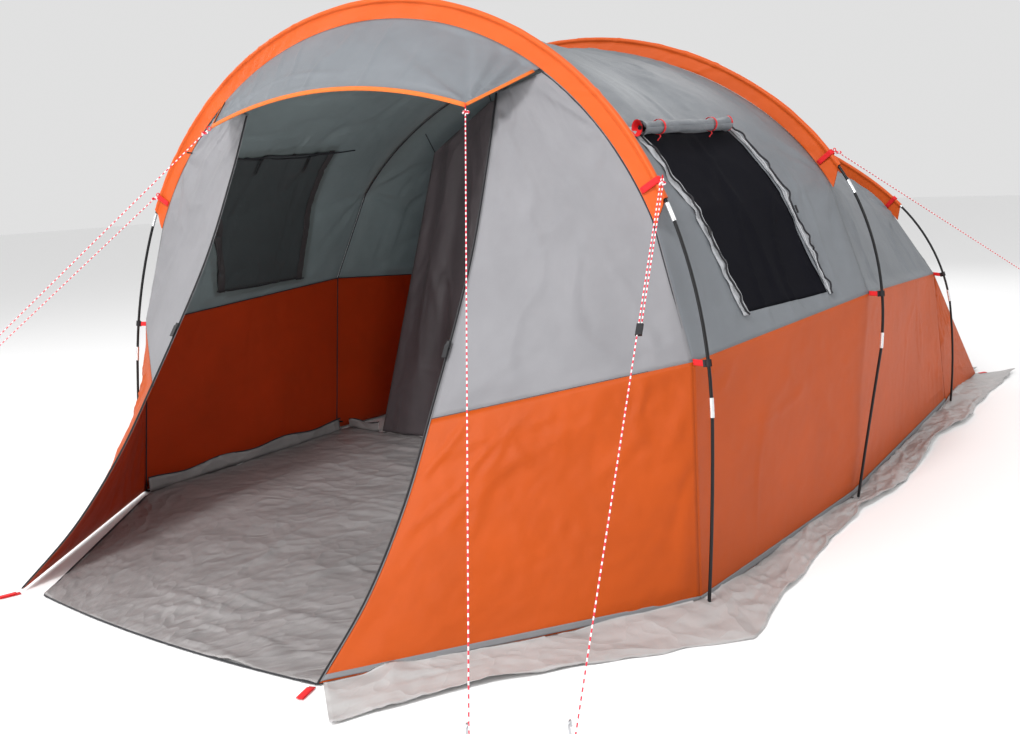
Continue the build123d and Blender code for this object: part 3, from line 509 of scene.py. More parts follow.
def make_sheet(name, base, size, push, materials, holes=(), fade=(1, 1, 1, 1), flip=False,
               thick=0.0012, pitch=0.017, nodes=(), fading=0.07):
    """A sheet of cloth on a base surface over u and v from 0 to 1, creased, cut and given a thickness."""
    counts = [max(int(length / pitch), 3) for length in size]
    u, v = np.meshgrid(np.linspace(0, 1, counts[0]), np.linspace(0, 1, counts[1]), indexing="ij")
    plain = base(u, v)
    mesh = grid_mesh(name, plain, u, v, flip)
    if holes:
        cut_holes(mesh, holes)
    uv = np.zeros(len(mesh.loops) * 2)
    mesh.uv_layers[0].data.foreach_get("uv", uv)
    index = np.zeros(len(mesh.loops), int)
    mesh.loops.foreach_get("vertex_index", index)
    at = np.zeros((len(mesh.vertices), 2))
    at[index] = uv.reshape(-1, 2)
    u, v = at[:, 0], at[:, 1]
    amount = push(u * size[0], v * size[1], u, v) * edge_fade(u, v, size, fade, fading)
    points = raised(base, u, v, amount, flip)
    points[:, 2] = np.maximum(points[:, 2], 0.0008)
    mesh.vertices.foreach_set("co", points.ravel())
    mesh.uv_layers[0].data.foreach_set("uv", (at * np.array(size))[index].ravel())
    mesh.shade_smooth()
    piece = place_object(name, mesh, materials, nodes=nodes)
    solid = piece.modifiers.new("cloth", "SOLIDIFY")
    solid.thickness = thick
    solid.offset = -1
    solid.material_offset = len(materials) - 1
    return piece


def ribbon(name, points, across, width, material, thick=0.0014, nodes=(), wave=0.0, camber=0.0):
    """Webbing or tape: a flat band along points, with across its width's direction at each."""
    points, across = np.asarray(points, float), np.asarray(across, float)
    across = np.broadcast_to(across, points.shape)
    across = across / np.linalg.norm(across, axis=-1, keepdims=True)
    along = np.gradient(points, axis=0)
    face = np.cross(along, across)
    face /= np.maximum(np.linalg.norm(face, axis=-1, keepdims=True), 1e-9)
    lengths = np.concatenate([[0], np.cumsum(np.linalg.norm(np.diff(points, axis=0), axis=1))])
    shares = np.linspace(-0.5, 0.5, 5)
    rise = camber * (1 - 4 * shares[None, :] ** 2) + wave * np.sin(lengths * 60)[:, None] * shares[None, :]
    aside = across[:, None] * (shares * width)[None, :, None]
    grid = points[:, None] + aside + face[:, None] * rise[..., None]
    u, v = np.broadcast_arrays(lengths[:, None], (shares * width)[None, :])
    mesh = grid_mesh(name, grid, u, v)
    mesh.shade_smooth()
    piece = place_object(name, mesh, material, nodes=nodes)
    solid = piece.modifiers.new("band", "SOLIDIFY")
    solid.thickness = thick
    solid.offset = 0
    return piece


def joined(name, pieces, nodes=()):
    """Several meshes as one piece."""
    bm = bmesh.new()
    materials = []
    graph = bpy.context.evaluated_depsgraph_get()
    for piece in pieces:
        piece_mesh = bpy.data.meshes.new_from_object(piece.evaluated_get(graph))
        offset = len(materials)
        materials.extend(piece_mesh.materials)
        start = len(bm.faces)
        bm.from_mesh(piece_mesh)
        bm.faces.ensure_lookup_table()
        for face in bm.faces[start:]:
            face.material_index += offset
        bpy.data.objects.remove(piece)
    mesh = bpy.data.meshes.new(name)
    bm.to_mesh(mesh)
    bm.free()
    return place_object(name, mesh, materials, nodes=nodes)


# ---------------------------------------------------------------- guy lines
GUY_R = 0.002
RING_OUT = 0.0222  # from the pole's line to a ring's centre
RING_CLEAR = 0.0087  # from a ring's centre to where the line starts
KNOT_OUT = 0.024  # from a ring's centre to the knot in its line
DOUBLE_GAP = 0.0041
RUNNER_HALF = 0.019
HOLD_Z = 0.09


def outwards(arch, degrees):
    """A point of the pole, and the directions out from it, along it and across its plane."""
    here = in_space(arch, *on_arch(arch, degrees))
    near = in_space(arch, *on_arch(arch, degrees + 0.5))
    along = (near - here) / np.linalg.norm(near - here)
    t = math.radians(arch.lean)
    across = np.array([0, -math.cos(t), math.sin(t)])
    return here, np.cross(across, along), along, across


def ring_centre(arch, degrees):
    here, out, _, _ = outwards(arch, degrees)
    return Vector(here + out * RING_OUT)


AWNING_RING = Vector((0.606, -1.640, 1.544))
GUYS = [
    ("awning_right", AWNING_RING, Vector((1.400, -2.800, 0)), None, 1.958),
    ("awning_left", Vector((-0.606, -1.640, 1.544)), Vector((-1.950, -2.800, 0)), 0.80, 2.207),
    ("front_right", ring_centre(FRONT_ARCH, STRAP_ANGLE), Vector((1.575, -2.690, 0)), 0.33, 2.262),
    ("front_left", ring_centre(FRONT_ARCH, -STRAP_ANGLE), Vector((-2.150, -2.630, 0)), 0.80, 1.855),
    ("middle_right", ring_centre(MIDDLE_ARCH, STRAP_ANGLE), Vector((2.400, 2.650, 0)), 0.82, 3.043),
]


def guy_route(name, ring, ground, share):
    """The line's own points, and its direction. The line at the front right is doubled down to its runner."""
    way = (ground - ring).normalized()
    beside = way.cross(Vector((0, 0, 1))).normalized()
    double = name == "front_right"
    apart = beside * (DOUBLE_GAP if double else 0)
    start = ring + way * RING_CLEAR + apart
    end = ring + (ground - ring) * (1 - HOLD_Z / ring.z) + apart
    if not double:
        return [start, start + way * KNOT_OUT, end - way * KNOT_OUT, end], way
    place = start + (end - start) * share
    bow = ring + way * (0.007 - DOUBLE_GAP + 0.0001)
    knot = place - apart * 2 - way * (RUNNER_HALF + 0.0006)
    return [knot, bow - apart + way * 0.02, bow - apart, bow + apart, bow + apart + way * 0.02, end], way


def overhand_knot(name, centre, size, material):
    """A small knot: a trefoil of cord."""
    t = np.linspace(0, 2 * math.pi, 49)[:-1]
    shape = np.stack([np.sin(t) + 2 * np.sin(2 * t), np.cos(t) - 2 * np.cos(2 * t), -np.sin(3 * t)], -1)
    return line(name, np.array(centre) + shape * size / 3, GUY_R * 1.1, material,
                closed=True)


def make_guys():
    for name, ring, ground, share, length in GUYS:
        points, way = guy_route(name, ring, ground, share)
        data = bpy.data.curves.new(f"guy_{name}", "CURVE")
        data.dimensions = "3D"
        data.bevel_depth = GUY_R
        data.bevel_resolution = 4
        data.resolution_u = 16
        data.use_fill_caps = True
        spline = data.splines.new("NURBS")
        spline.points.add(len(points) - 1)
        for target, point in zip(spline.points, points):
            target.co = (*point, 1)
        spline.order_u = 3
        spline.use_endpoint_u = True
        cord = braid(f"braid_{name}", way, (0.72, 0.02, 0.05), (0.88, 0.80, 0.80), 0.020)
        piece = place_object(f"line_{name}", data, cord, nodes=[f"guy_{name}"])
        knot = overhand_knot(f"knot_{name}", ring + way * KNOT_OUT, 0.011, cord)


make_guys()


# ---------------------------------------------------------------- roof and walls
def roof_between(front, back):
    def base(u, v):
        degrees = CLIP_ANGLE * (2 * u - 1)
        first = in_space(front, *roof_line(front, degrees), -GAP)
        second = in_space(back, *roof_line(back, degrees), GAP)
        return between(first, second, v)
    return base


living_base = roof_between(FRONT_ARCH, MIDDLE_ARCH)
LIVING_SIZE = (3.82, 1.38)


def living_push(s, t, u, v):
    sag = -0.013 * np.sin(math.pi * v)
    lean = taut(3.0, swell=0.006, crease=0.0034, crumple=0.0009)(s, t, u, v)
    pulls = sum(0.014 * fan(s, t, (LIVING_SIZE[0] * (0.5 + k * 0.36), LIVING_SIZE[1] * j), 9, 8 + k + j)
                for k in (-1, 1) for j in (0, 1))
    return sag + lean + pulls


def bedroom_push(s, t, u, v):
    sag = -0.030 * np.sin(math.pi * v)
    pulls = sum(0.014 * fan(s, t, (BEDROOM_SIZE[0] * (0.5 + k * 0.36), BEDROOM_SIZE[1] * j), 9, 18 + k + j)
                for k in (-1, 1) for j in (0, 1))
    return sag + taut(23.0, swell=0.008, crease=0.0038, crumple=0.0009)(s, t, u, v) + pulls


window_holes = [(WINDOW, (1, 2), 1), (WINDOW, (1, 2), -1)]
make_sheet("roof_living", living_base, LIVING_SIZE, living_push, [fly_grey, fly_grey_inside_lit],
           holes=window_holes,
           nodes=["living_roof"])

bedroom_base = roof_between(MIDDLE_ARCH, REAR_ARCH)
BEDROOM_SIZE = (3.82, 1.81)
make_sheet("roof_bedroom", bedroom_base, BEDROOM_SIZE, bedroom_push, [fly_grey, fly_grey_inside_lit],
           nodes=["bedroom_roof"])


def rear_base(first, last):
    """The back panel between two shares of the way from the rear arch to the ground."""
    def base(u, v):
        degrees = CLIP_ANGLE * (2 * u - 1)
        a = np.abs(degrees)
        x, h = roof_line(REAR_ARCH, degrees)
        index = np.where(a < SLEEVE_END, a / SLEEVE_END * 6, 6 + (a - SLEEVE_END) / (CLIP_ANGLE - SLEEVE_END))
        across = np.sign(degrees) * REAR_CORNER[0] * index / 7
        low = HEM_Z + REAR_HEM_RISE * (1 - (across / REAR_CORNER[0]) ** 2)
        share = first + (last - first) * v
        y = REAR_ARCH.y + 0.012 + (REAR_CORNER[1] - REAR_ARCH.y - 0.012) * share
        return np.stack([x + (across - x) * share, y, h + (low - h) * share], -1)
    return base


def rear_push(first, last, seed):
    cloth = taut(seed, swell=0.006, crease=0.003)

    def push(s, t, u, v):
        share = first + (last - first) * v
        return -0.028 * np.sin(math.pi * share) + cloth(s, t, u, v)
    return push


make_sheet("roof_rear", rear_base(0.0, 0.5), (3.01, 0.84), rear_push(0.0, 0.5, 31.0),
           [fly_grey, fly_grey_inside_lit],
           nodes=["rear_roof"], fade=(1, 1, 1, 0))
make_sheet("wall_rear", rear_base(0.5, 1.0), (2.65, 0.84), rear_push(0.5, 1.0, 37.0),
           [fly_orange, fly_orange_inside],
           nodes=["rear_wall"], fade=(1, 1, 0, 1))


def rear_gusset(side):
    """The triangle of wall between the rear pole's foot and the tent's rear corner."""
    seam = in_space(REAR_ARCH, *wall_line(REAR_ARCH, side, 0.0))
    foot = in_space(REAR_ARCH, *wall_line(REAR_ARCH, side, 1.0), -0.004)
    corner = np.array([side * REAR_CORNER[0], REAR_CORNER[1], HEM_Z])

    def base(u, v):
        return seam + ((foot - seam) * (1 - u)[..., None] + (corner - seam) * u[..., None]) * v[..., None]
    return base


LIVING_BAY, BEDROOM_BAY, SIDE_LENGTH = 1.27, 1.90, 3.17  # along the foot of the side wall


def side_wall(side):
    """The orange wall from the front arch past the middle one to the rear one."""
    def base(u, v):
        lines = [in_space(arch, *wall_line(arch, side, v)) for arch in ARCHES.values()]
        share = u * SIDE_LENGTH / LIVING_BAY
        later = (u * SIDE_LENGTH - LIVING_BAY) / BEDROOM_BAY
        return np.where((share < 1)[..., None], between(lines[0], lines[1], share),
                        between(lines[1], lines[2], later))
    return base


for side, word in ((1, "right"), (-1, "left")):
    make_sheet(f"wall_{word}", side_wall(side), (3.18, 0.81), taut(41.0 + side, swell=0.005, crease=0.0022),
               [fly_orange, fly_orange_inside], nodes=[f"lower_wall_{word}"],
               flip=side > 0)
    make_sheet(f"gusset_{word}", rear_gusset(side), (0.89, 1.12),
               taut(51.0 + side, swell=0.003, crease=0.002),
               [fly_orange, fly_orange_inside], flip=side > 0)


# ---------------------------------------------------------------- porch
def door_edge(side, t, ahead=0.0):
    """Points of the doorway's edge; t counts its given points from the top."""
    yz = smooth_line(DOOR_EDGE, np.asarray(t, float))
    return np.stack([side * (0.700 - DOOR_SLOPE * yz[..., 1]), yz[..., 0] - ahead, yz[..., 1]], -1)


def porch_base(side, upper):
    def base(u, v):
        if upper:
            degrees = PORCH_ANGLE + (CLIP_ANGLE - PORCH_ANGLE) * v
            x, h = roof_line(FRONT_ARCH, degrees)
            arch_side = in_space(FRONT_ARCH, side * x, h, 0.0)
            door_side = door_edge(side, v * DOOR_SEAM_AT)
        else:
            arch_side = in_space(FRONT_ARCH, *wall_line(FRONT_ARCH, side, v), 0.0)
            door_side = door_edge(side, DOOR_SEAM_AT + v * (len(DOOR_EDGE) - 1 - DOOR_SEAM_AT))
        return between(arch_side, door_side, u)
    return base


def porch_push(seed):
    cloth = taut(seed, swell=0.006, crease=0.0032, crumple=0.0010, turn=0.5)

    def push(s, t, u, v):
        pull = 0.010 * fan(s, t, (0.0, 0.30), 10, seed + 4) + 0.007 * fan(s, t, (0.8, 0.1), 8, seed + 6)
        return cloth(s, t, u, v) + pull - 0.012 * np.sin(math.pi * u) * np.sin(math.pi * np.clip(v, 0, 1))
    return push


for side, word in ((1, "right"), (-1, "left")):
    make_sheet(f"porch_top_{word}", porch_base(side, True), (0.82, 1.13), porch_push(61.0 + side),
               [porch_grey, fly_grey_inside_lit], nodes=[f"porch_upper_{word}"], flip=side < 0)
    make_sheet(f"porch_low_{word}", porch_base(side, False), (1.18, 0.84), porch_push(71.0 + side),
               [fly_orange, fly_orange_inside], nodes=[f"porch_lower_{word}"],
               flip=side < 0)


# ---------------------------------------------------------------- awning
def awning_edge(across):
    return DOOR_TOP[2] + AWNING_RISE * (1 - (across / DOOR_TOP[0]) ** 2)


def awning_base(u, v):
    degrees = AWNING_ANGLE * (2 * u - 1)
    top = in_space(FRONT_ARCH, *on_arch(FRONT_ARCH, degrees, FLY_INSET), 0.003)
    across = DOOR_TOP[0] * (2 * u - 1)
    low = np.stack([across, np.full_like(across, DOOR_TOP[1]), awning_edge(across)], -1)
    return between(top, low, v)


AWNING_SIZE = (1.58, 0.34)


def awning_push(s, t, u, v):
    cloth = taut(83.0, swell=0.004, crease=0.002)(s, t, u, v)
    right = fan(s, t, (AWNING_SIZE[0], AWNING_SIZE[1]), 16, 85.0)
    left = fan(s, t, (0.0, AWNING_SIZE[1]), 12, 87.0)
    return cloth + 0.022 * right + 0.014 * left + 0.004 * np.sin(math.pi * v) * np.sin(math.pi * u)


make_sheet("awning_cloth", awning_base, AWNING_SIZE, awning_push, [fly_grey, fly_grey_inside_lit],
           nodes=["awning"],
           flip=True, pitch=0.010, fading=0.03)
across = np.linspace(-DOOR_TOP[0], DOOR_TOP[0], 41)
trim = np.stack([across, np.full_like(across, DOOR_TOP[1] - 0.003), awning_edge(across)], -1)
trims = [ribbon("awning_trim_low", trim, (0, 0.25, 1), 0.015, trim_orange, thick=0.003, camber=0.001)]
for u_edge in (0.0, 1.0):
    border = awning_base(np.full(12, u_edge), np.linspace(1.0, 0.08, 12)) + np.array([0, -0.002, 0.001])
    trims.append(ribbon(f"awning_trim_{u_edge:.0f}", border, (0.6 * (2 * u_edge - 1), 0.2, -0.7), 0.011,
                        trim_orange,
                        thick=0.0025, camber=0.001))
joined("awning_trim", trims)


# ---------------------------------------------------------------- sleeves
def make_sleeve(name, arch, seed):
    """The orange tunnel round a pole with its flat sewn to the fly."""
    tunnel = 0.0095
    angles = np.radians(np.linspace(160, -160, 19))
    round_part = [(tunnel * math.cos(a), tunnel * math.sin(a)) for a in angles]
    flat_out = [(x, 0.0022) for x in np.linspace(-SLEEVE_DEPTH, -0.016, 8)]
    flat_back = [(x, -0.0022) for x in np.linspace(-0.016, -SLEEVE_DEPTH, 8)]
    profile = np.array(flat_out + round_part + flat_back)
    depth = np.clip(-profile[:, 0] / SLEEVE_DEPTH, 0, 1)
    count = 240
    share = np.linspace(-1, 1, count)[:, None]
    degrees = share * (SLEEVE_END - 0.5 + 1.9 * depth[None, :])
    run = np.radians(degrees) * 1.75
    folds = 0.0030 * creases(run + 1.2 * depth * 0.062, depth * 0.06 + run * 0.8, 0.12, 0.024, seed)
    swell = 0.0022 * noise(run / 0.07, profile[None, :, 1] * 40, seed + 3)
    puff = (folds + swell) * np.where(depth > 0.93, 0.0, 1.0)[None, :]
    out = profile[None, :, 0] + np.where(depth < 0.22, np.maximum(puff, 0) * np.sign(profile[:, 0] + 0.004),
                                         0.0)
    sideways = profile[None, :, 1] * (1 + np.abs(puff) / 0.006 * (depth < 0.22)) + puff * (depth >= 0.22)
    x, h = on_arch(arch, degrees)
    dx, dh = np.subtract(on_arch(arch, degrees + 0.2), (x, h))
    size = np.hypot(dx, dh)
    points = in_space(arch, x - dh / size * out, h + dx / size * out, sideways)
    mesh = grid_mesh(name, points, np.broadcast_to(run, degrees.shape),
                     np.broadcast_to(depth * 0.06, degrees.shape))
    mesh.shade_smooth()
    return place_object(f"tunnel_{name}", mesh, sleeve_orange, nodes=[f"{name}_sleeve"])


for number, (name, arch) in enumerate(ARCHES.items()):
    make_sleeve(name, arch, 91.0 + 7 * number)

# ---------------------------------------------------------------- windows
def on_living_roof(side, y, z, off):
    """Points of the creased roof at a place along the tent and a height, moved outwards by off."""
    u = np.full(np.shape(y), 0.5 + 0.40 * side)
    v = np.full(np.shape(y), 0.5)
    e = 1e-4
    for _ in range(10):
        here = living_base(u, v)
        du = (living_base(u + e, v) - here) / e
        dv = (living_base(u, v + e) - here) / e
        miss_y, miss_z = y - here[..., 1], z - here[..., 2]
        det = du[..., 1] * dv[..., 2] - dv[..., 1] * du[..., 2]
        u = u + (miss_y * dv[..., 2] - miss_z * dv[..., 1]) / det
        v = v + (du[..., 1] * miss_z - du[..., 2] * miss_y) / det
    s, t = u * LIVING_SIZE[0], v * LIVING_SIZE[1]
    push = living_push(s, t, u, v) * edge_fade(u, v, LIVING_SIZE, (1, 1, 1, 1))
    return raised(living_base, u, v, push + off)


def in_window(u, v, grow=0.0):
    """Place along the tent and height inside the window; u from front to back, v from the top down."""
    top = WINDOW[0] + (WINDOW[1] - WINDOW[0]) * np.asarray(u)[..., None]
    low = WINDOW[3] + (WINDOW[2] - WINDOW[3]) * np.asarray(u)[..., None]
    place = top + (low - top) * np.asarray(v)[..., None]
    middle = WINDOW.mean(0)
    return tuple(middle[k] + (place[..., k] - middle[k]) * (1 + grow) for k in (0, 1))


def window_base(side, off, grow=0.0):
    def base(u, v):
        return on_living_roof(side, *in_window(u, v, grow), off)
    return base


def edge_strip(side, u_edge, way, width, off):
    """A strip beside the front or the back edge of a window; u is across it and v down it."""
    def base(u, v):
        y, z = in_window(np.full(np.shape(v), u_edge), v, 0.03)
        return on_living_roof(side, y + way * (0.002 + width * u), z, off)
    return base


def gathered(seed, amount):
    """The puckers of cloth that a zip or an elastic draws together."""
    def push(s, t, u, v):
        pucker = np.sin(t * 105 + 2.5 * noise(t / 0.11, 0.0, seed)) * (0.6 + 0.4 * noise(t / 0.2, 3.0, seed))
        fine = 0.001 * noise(s / 0.02, t / 0.02, seed)
        return amount * (0.5 + 0.5 * pucker) * (0.35 + 0.65 * np.sin(math.pi * u)) + fine
    return push


def window_line(side, u_edge, way, aside, off, wave, seed):
    """A wavy line down the side of a window."""
    v = np.linspace(0, 1, 110)
    y, z = in_window(np.full(v.shape, u_edge), v, 0.03)
    sway = wave * (np.sin(v * 34 + 2.0 * noise(v * 5, 0.5, seed)) + 0.5 * np.sin(v * 71 + seed))
    return on_living_roof(side, y + way * (aside + sway), z, off + 0.3 * np.abs(sway))


def window_frame(side, word, wave):
    pieces = []
    for u_edge, way, place in ((0.0, -1, "front"), (1.0, 1, "back")):
        strip = make_sheet(f"strip_{word}_{place}", edge_strip(side, u_edge, way, 0.034, 0.003),
                           (0.034, 0.62),
                           gathered(101.0 + u_edge, 0.009 if side > 0 else 0.002),
                           [strip_grey if side > 0 else fly_grey], fade=(0, 0, 0, 0),
                           flip=side * way > 0, pitch=0.0045)
        coil = line(f"coil_{word}_{place}", window_line(side, u_edge, way, 0.019, 0.012, wave, 3.0 + u_edge),
                    0.0036, piping_black)
        # the light grey cord beside the coil is a painted highlight along the zip's edge
        cord = line(f"edge_{word}_{place}",
                    window_line(side, u_edge, way, 0.004, 0.009, wave * 0.6, 3.4 + u_edge),
                    0.0018, piping_highlight)
        pieces += [strip, coil, cord]
    return joined(f"zips_{word}", pieces, nodes=[f"window_zips_{word}"])


def net_push(s, t, u, v):
    return 0.003 * noise(s / 0.3, t / 0.3, 7.0) + 0.0015 * creases(s, t, 0.3, 0.10, 8.0)


for side, word in ((1, "right"), (-1, "left")):
    make_sheet(f"net_{word}", window_base(side, -0.003), (0.66, 0.66), net_push, [net, net_inside],
               nodes=[f"window_mesh_{word}"], flip=side > 0, thick=0.0007)
    window_frame(side, word, 0.0085 if side > 0 else 0.0015)
make_sheet("cover_left", window_base(-1, 0.008, 0.10), (0.73, 0.73), taut(113.0, swell=0.003, crease=0.003),
           [fly_grey, lining], nodes=["window_cover_left"])

# the dark border and the ties on the inside of the left window
inside_pieces = []
for u_edge, way in ((0.0, 1), (1.0, -1)):
    inside_pieces.append(make_sheet(f"border_{u_edge:.0f}", edge_strip(-1, u_edge, way, 0.040, -0.007),
                                    (0.04, 0.62),
                                    gathered(121.0 + u_edge, 0.004), [lining], fade=(0, 0, 0, 0),
                                    flip=way < 0,
                                    pitch=0.006))
for v_edge in (-0.005, 1.0):
    u = np.linspace(-0.03, 1.03, 40)
    y, z = in_window(u, np.full(u.shape, v_edge))
    inside_pieces.append(line(f"rail_{v_edge:.0f}", on_living_roof(-1, y, z, -0.010), 0.003, piping_black))
for u_tie in (0.28, 0.75):
    drop = np.linspace(0, 0.12, 8)
    y, z = in_window(np.full(drop.shape, u_tie), drop)
    hang = on_living_roof(-1, y, z, -0.014) + np.array([0.004, 0, 0])
    inside_pieces.append(ribbon(f"tie_{u_tie}", hang, (0, 1, 0.2), 0.012, webbing_black))
joined("window_border_left", inside_pieces)


def roll_grid(start, end, r, turns, seed, count=70, flare=0.0):
    """A rolled sheet: a spiral in section, with the dents and creases of cloth."""
    start, end = np.asarray(start, float), np.asarray(end, float)
    along = (end - start) / np.linalg.norm(end - start)
    first = np.cross(along, [0, 0, 1.0] if abs(along[2]) < 0.9 else [0, 1.0, 0])
    first /= np.linalg.norm(first)
    second = np.cross(along, first)
    share, angle = np.meshgrid(np.linspace(0, 1, count), np.linspace(0, 2 * math.pi * turns, 26 * turns),
                               indexing="ij")
    inward = 1 - 0.42 * (angle / angle.max())
    length = np.linalg.norm(end - start)
    dent = 0.10 * noise(share * length / 0.07, angle / 0.9, seed)
    dent = dent + 0.05 * noise(share * length / 0.025, angle / 0.4, seed + 2)
    crease = 0.10 * creases(share * length, angle * 0.03, 0.15, 0.016, seed + 4)
    ends = flare * np.exp(-((np.minimum(share, 1 - share) * length / 0.02) ** 2))
    radius = r * (inward * 0.88 + (dent - crease) * inward + ends)
    points = (start + along * (share * length)[..., None] + first * (radius * np.cos(angle))[..., None]
              + second * (radius * np.sin(angle))[..., None])
    return points, share * length, angle * r


def make_roll(name, start, end, r, turns, seed, material, nodes, slot, flare=0.0):
    points, u, v = roll_grid(start, end, r, turns, seed, flare=flare)
    mesh = grid_mesh(name, points, u, v)
    mesh.shade_smooth()
    piece = place_object(name, mesh, material, nodes=nodes)
    solid = piece.modifiers.new("cloth", "SOLIDIFY")
    solid.thickness = 0.001
    solid.offset = 0
    return piece


def roll_tie(name, centre, along, r, material, tail=0.05, width=0.018):
    """A strap round a roll, with a loose end."""
    along = np.asarray(along, float) / np.linalg.norm(along)
    side_way = np.cross(along, [0, 0, 1.0] if abs(along[2]) < 0.9 else [0, 1.0, 0])
    side_way /= np.linalg.norm(side_way)
    up = np.cross(along, side_way)
    angle = np.linspace(0, 2 * math.pi, 33)
    loop = np.asarray(centre) + r * (side_way * np.cos(angle)[:, None] + up * np.sin(angle)[:, None])
    band = ribbon(f"{name}_loop", loop, along, width, material)
    drop = np.linspace(0, 1, 7)[:, None]
    hang = loop[8] + np.array([0, 0, -tail]) * drop + along * 0.01 * np.sin(drop * 5)
    return [band, ribbon(f"{name}_end", hang, along, 0.8 * width, material)]


def roof_spot(share, degrees, out):
    """A point over the plain living roof."""
    u = (degrees / CLIP_ANGLE + 1) / 2
    return raised(living_base, np.array(u), np.array(share), np.array(out))


roll_ends = roof_spot(0.13, 34.6, 0.024), roof_spot(0.60, 34.6, 0.024)
make_roll("cover_roll_right", *roll_ends, 0.026, 2, 131.0, fly_grey, ["window_roll_right"], "fly_grey",
          flare=0.22)
ties = []
roll_way = roll_ends[1] - roll_ends[0]
for number, share in enumerate((0.20, 0.80)):
    ties += roll_tie(f"cover_tie_{number}", roll_ends[0] + roll_way * share, roll_way, 0.0248, webbing_red,
                     0.02, 0.010)
for number, share in enumerate((-0.012, 1.012)):
    lip = roll_ends[0] + roll_way * share
    turn = np.linspace(0, 2 * math.pi, 25)
    along = roll_way / np.linalg.norm(roll_way)
    flat = np.cross(along, [0, 0, 1.0])
    flat /= np.linalg.norm(flat)
    up = np.cross(along, flat)
    rim = lip + 0.025 * (flat * np.cos(turn)[:, None] * 0.8 + up * np.sin(turn)[:, None] * 1.1)
    core = lip + 0.008 * (flat * np.cos(turn)[:, None] + up * np.sin(turn)[:, None])
    shares = np.linspace(0, 1, 6)[None, :, None]
    cap = rim[:, None] * (1 - shares) + core[:, None] * shares
    cap = cap + along * (0.010 * (1 if number else -1)) * np.cos(shares * math.pi * 0.9)
    mesh = grid_mesh(f"cover_cap_{number}", cap, np.zeros(cap.shape[:2]), np.zeros(cap.shape[:2]))
    mesh.shade_smooth()
    ties.append(place_object(f"cover_cap_{number}", mesh, webbing_red))
roll_at = (-1.480, 1.712)
make_roll("door_roll", (-0.325, *roll_at), (0.325, *roll_at), 0.036, 3, 137.0, fly_grey, ["rolled_door"],
          "fly_grey")
for number, x in enumerate((-0.24, 0.0, 0.24)):
    ties += roll_tie(f"door_tie_{number}", (x, *roll_at), (1, 0, 0), 0.0375, webbing_black, 0.03)
joined("ties", ties, nodes=["roll_ties"])


# ---------------------------------------------------------------- zips and hems
def make_door_zip(side, word):
    t = np.linspace(0.03, len(DOOR_EDGE) - 1.02, 150)
    edge = door_edge(side, t)
    ahead = door_edge(side, t, 0.008)
    inwards = np.array([-side, -0.25, 0])
    tape = ribbon(f"zip_tape_{word}", (edge + ahead) / 2, ahead - edge + inwards * 0.004, 0.012, piping_black,
                  thick=0.001)
    coil = line(f"zip_coil_{word}", ahead, 0.0026, plastic_black)
    hem = line(f"zip_hem_{word}", edge + np.array([side * 0.002, 0, 0]), 0.0022, hem_grey)
    return [tape, coil, hem]


joined("door_zip_tapes", make_door_zip(1, "right") + make_door_zip(-1, "left"), nodes=["door_zips"])


for side, word in ((1, "right"), (-1, "left")):
    out = np.array([side * 0.003, 0, 0])
    share = np.linspace(0, 1, 90)
    wall = side_wall(side)
    low, high = (wall(share, np.full(share.shape, v)) for v in (0.995, 0.965))
    pieces = [ribbon(f"hem_{word}_wall", (low + high) / 2 + out, high - low, 0.022, hem_grey, wave=0.001)]
    seam = wall(share, np.full(share.shape, 0.0))
    pieces.append(line(f"seam_{word}", seam - out * 1.5, 0.0022, piping_black))
    porch_low = porch_base(side, False)
    low, high = (porch_low(share, np.full(share.shape, v)) for v in (0.992, 0.965))
    pieces.append(ribbon(f"hem_{word}_porch", (low + high) / 2 + out, high - low, 0.020, hem_grey,
                         wave=0.001))
    seam = porch_low(share, np.full(share.shape, 0.0))
    pieces.append(line(f"seam_{word}_porch", seam - out * 1.2, 0.0020, piping_black))
    joined(f"hems_{word}", pieces)

inner = []
for name, arch in ARCHES.items():
    degrees = np.linspace(-CLIP_ANGLE, CLIP_ANGLE, 120)
    x, h = roof_line(arch, degrees)
    shrink = 1 - 0.006 / np.hypot(x, h)
    inner.append(line(f"rib_{name}", in_space(arch, x * shrink, h * shrink), 0.0028, piping_black))
    for side in (-1, 1):
        x, h = wall_line(arch, side, np.linspace(0, 1, 20))
        inner.append(line(f"rib_{name}_{side + 1}", in_space(arch, x - side * 0.006, h), 0.0026,
                          piping_black))
across = np.linspace(0.02, 0.98, 40)
y = -1.49 + 1.10 * across
piping = on_living_roof(-1, y, 1.475 - 0.03 * np.sin(math.pi * across), -0.008)
inner.append(line("window_piping", piping, 0.003, piping_black))
joined("ribs", inner)


# ---------------------------------------------------------------- on the ground
FLAP_Z = 0.0015
FLOOR_Z = 0.002
RIM_HEIGHT = 0.068


def wrinkled_floor(seed, rise):
    """Plastic sheet on the ground: it only stands up from it, in soft waves and sharp little ridges."""
    def push(s, t, u, v):
        wave = np.maximum(noise(s / 0.22, t / 0.30, seed) + 0.1, 0)
        ridge = 1.5 * creases(s, t, 0.42, 0.065, seed + 1) + 0.7 * creases(t, s, 0.30, 0.11, seed + 2)
        ridge = ridge + 0.5 * creases(s + t, s - t, 0.20, 0.06, seed + 5)
        return rise * (0.9 * wave + 0.55 * ridge + 0.12 * noise(s / 0.03, t / 0.03, seed + 3))
    return push


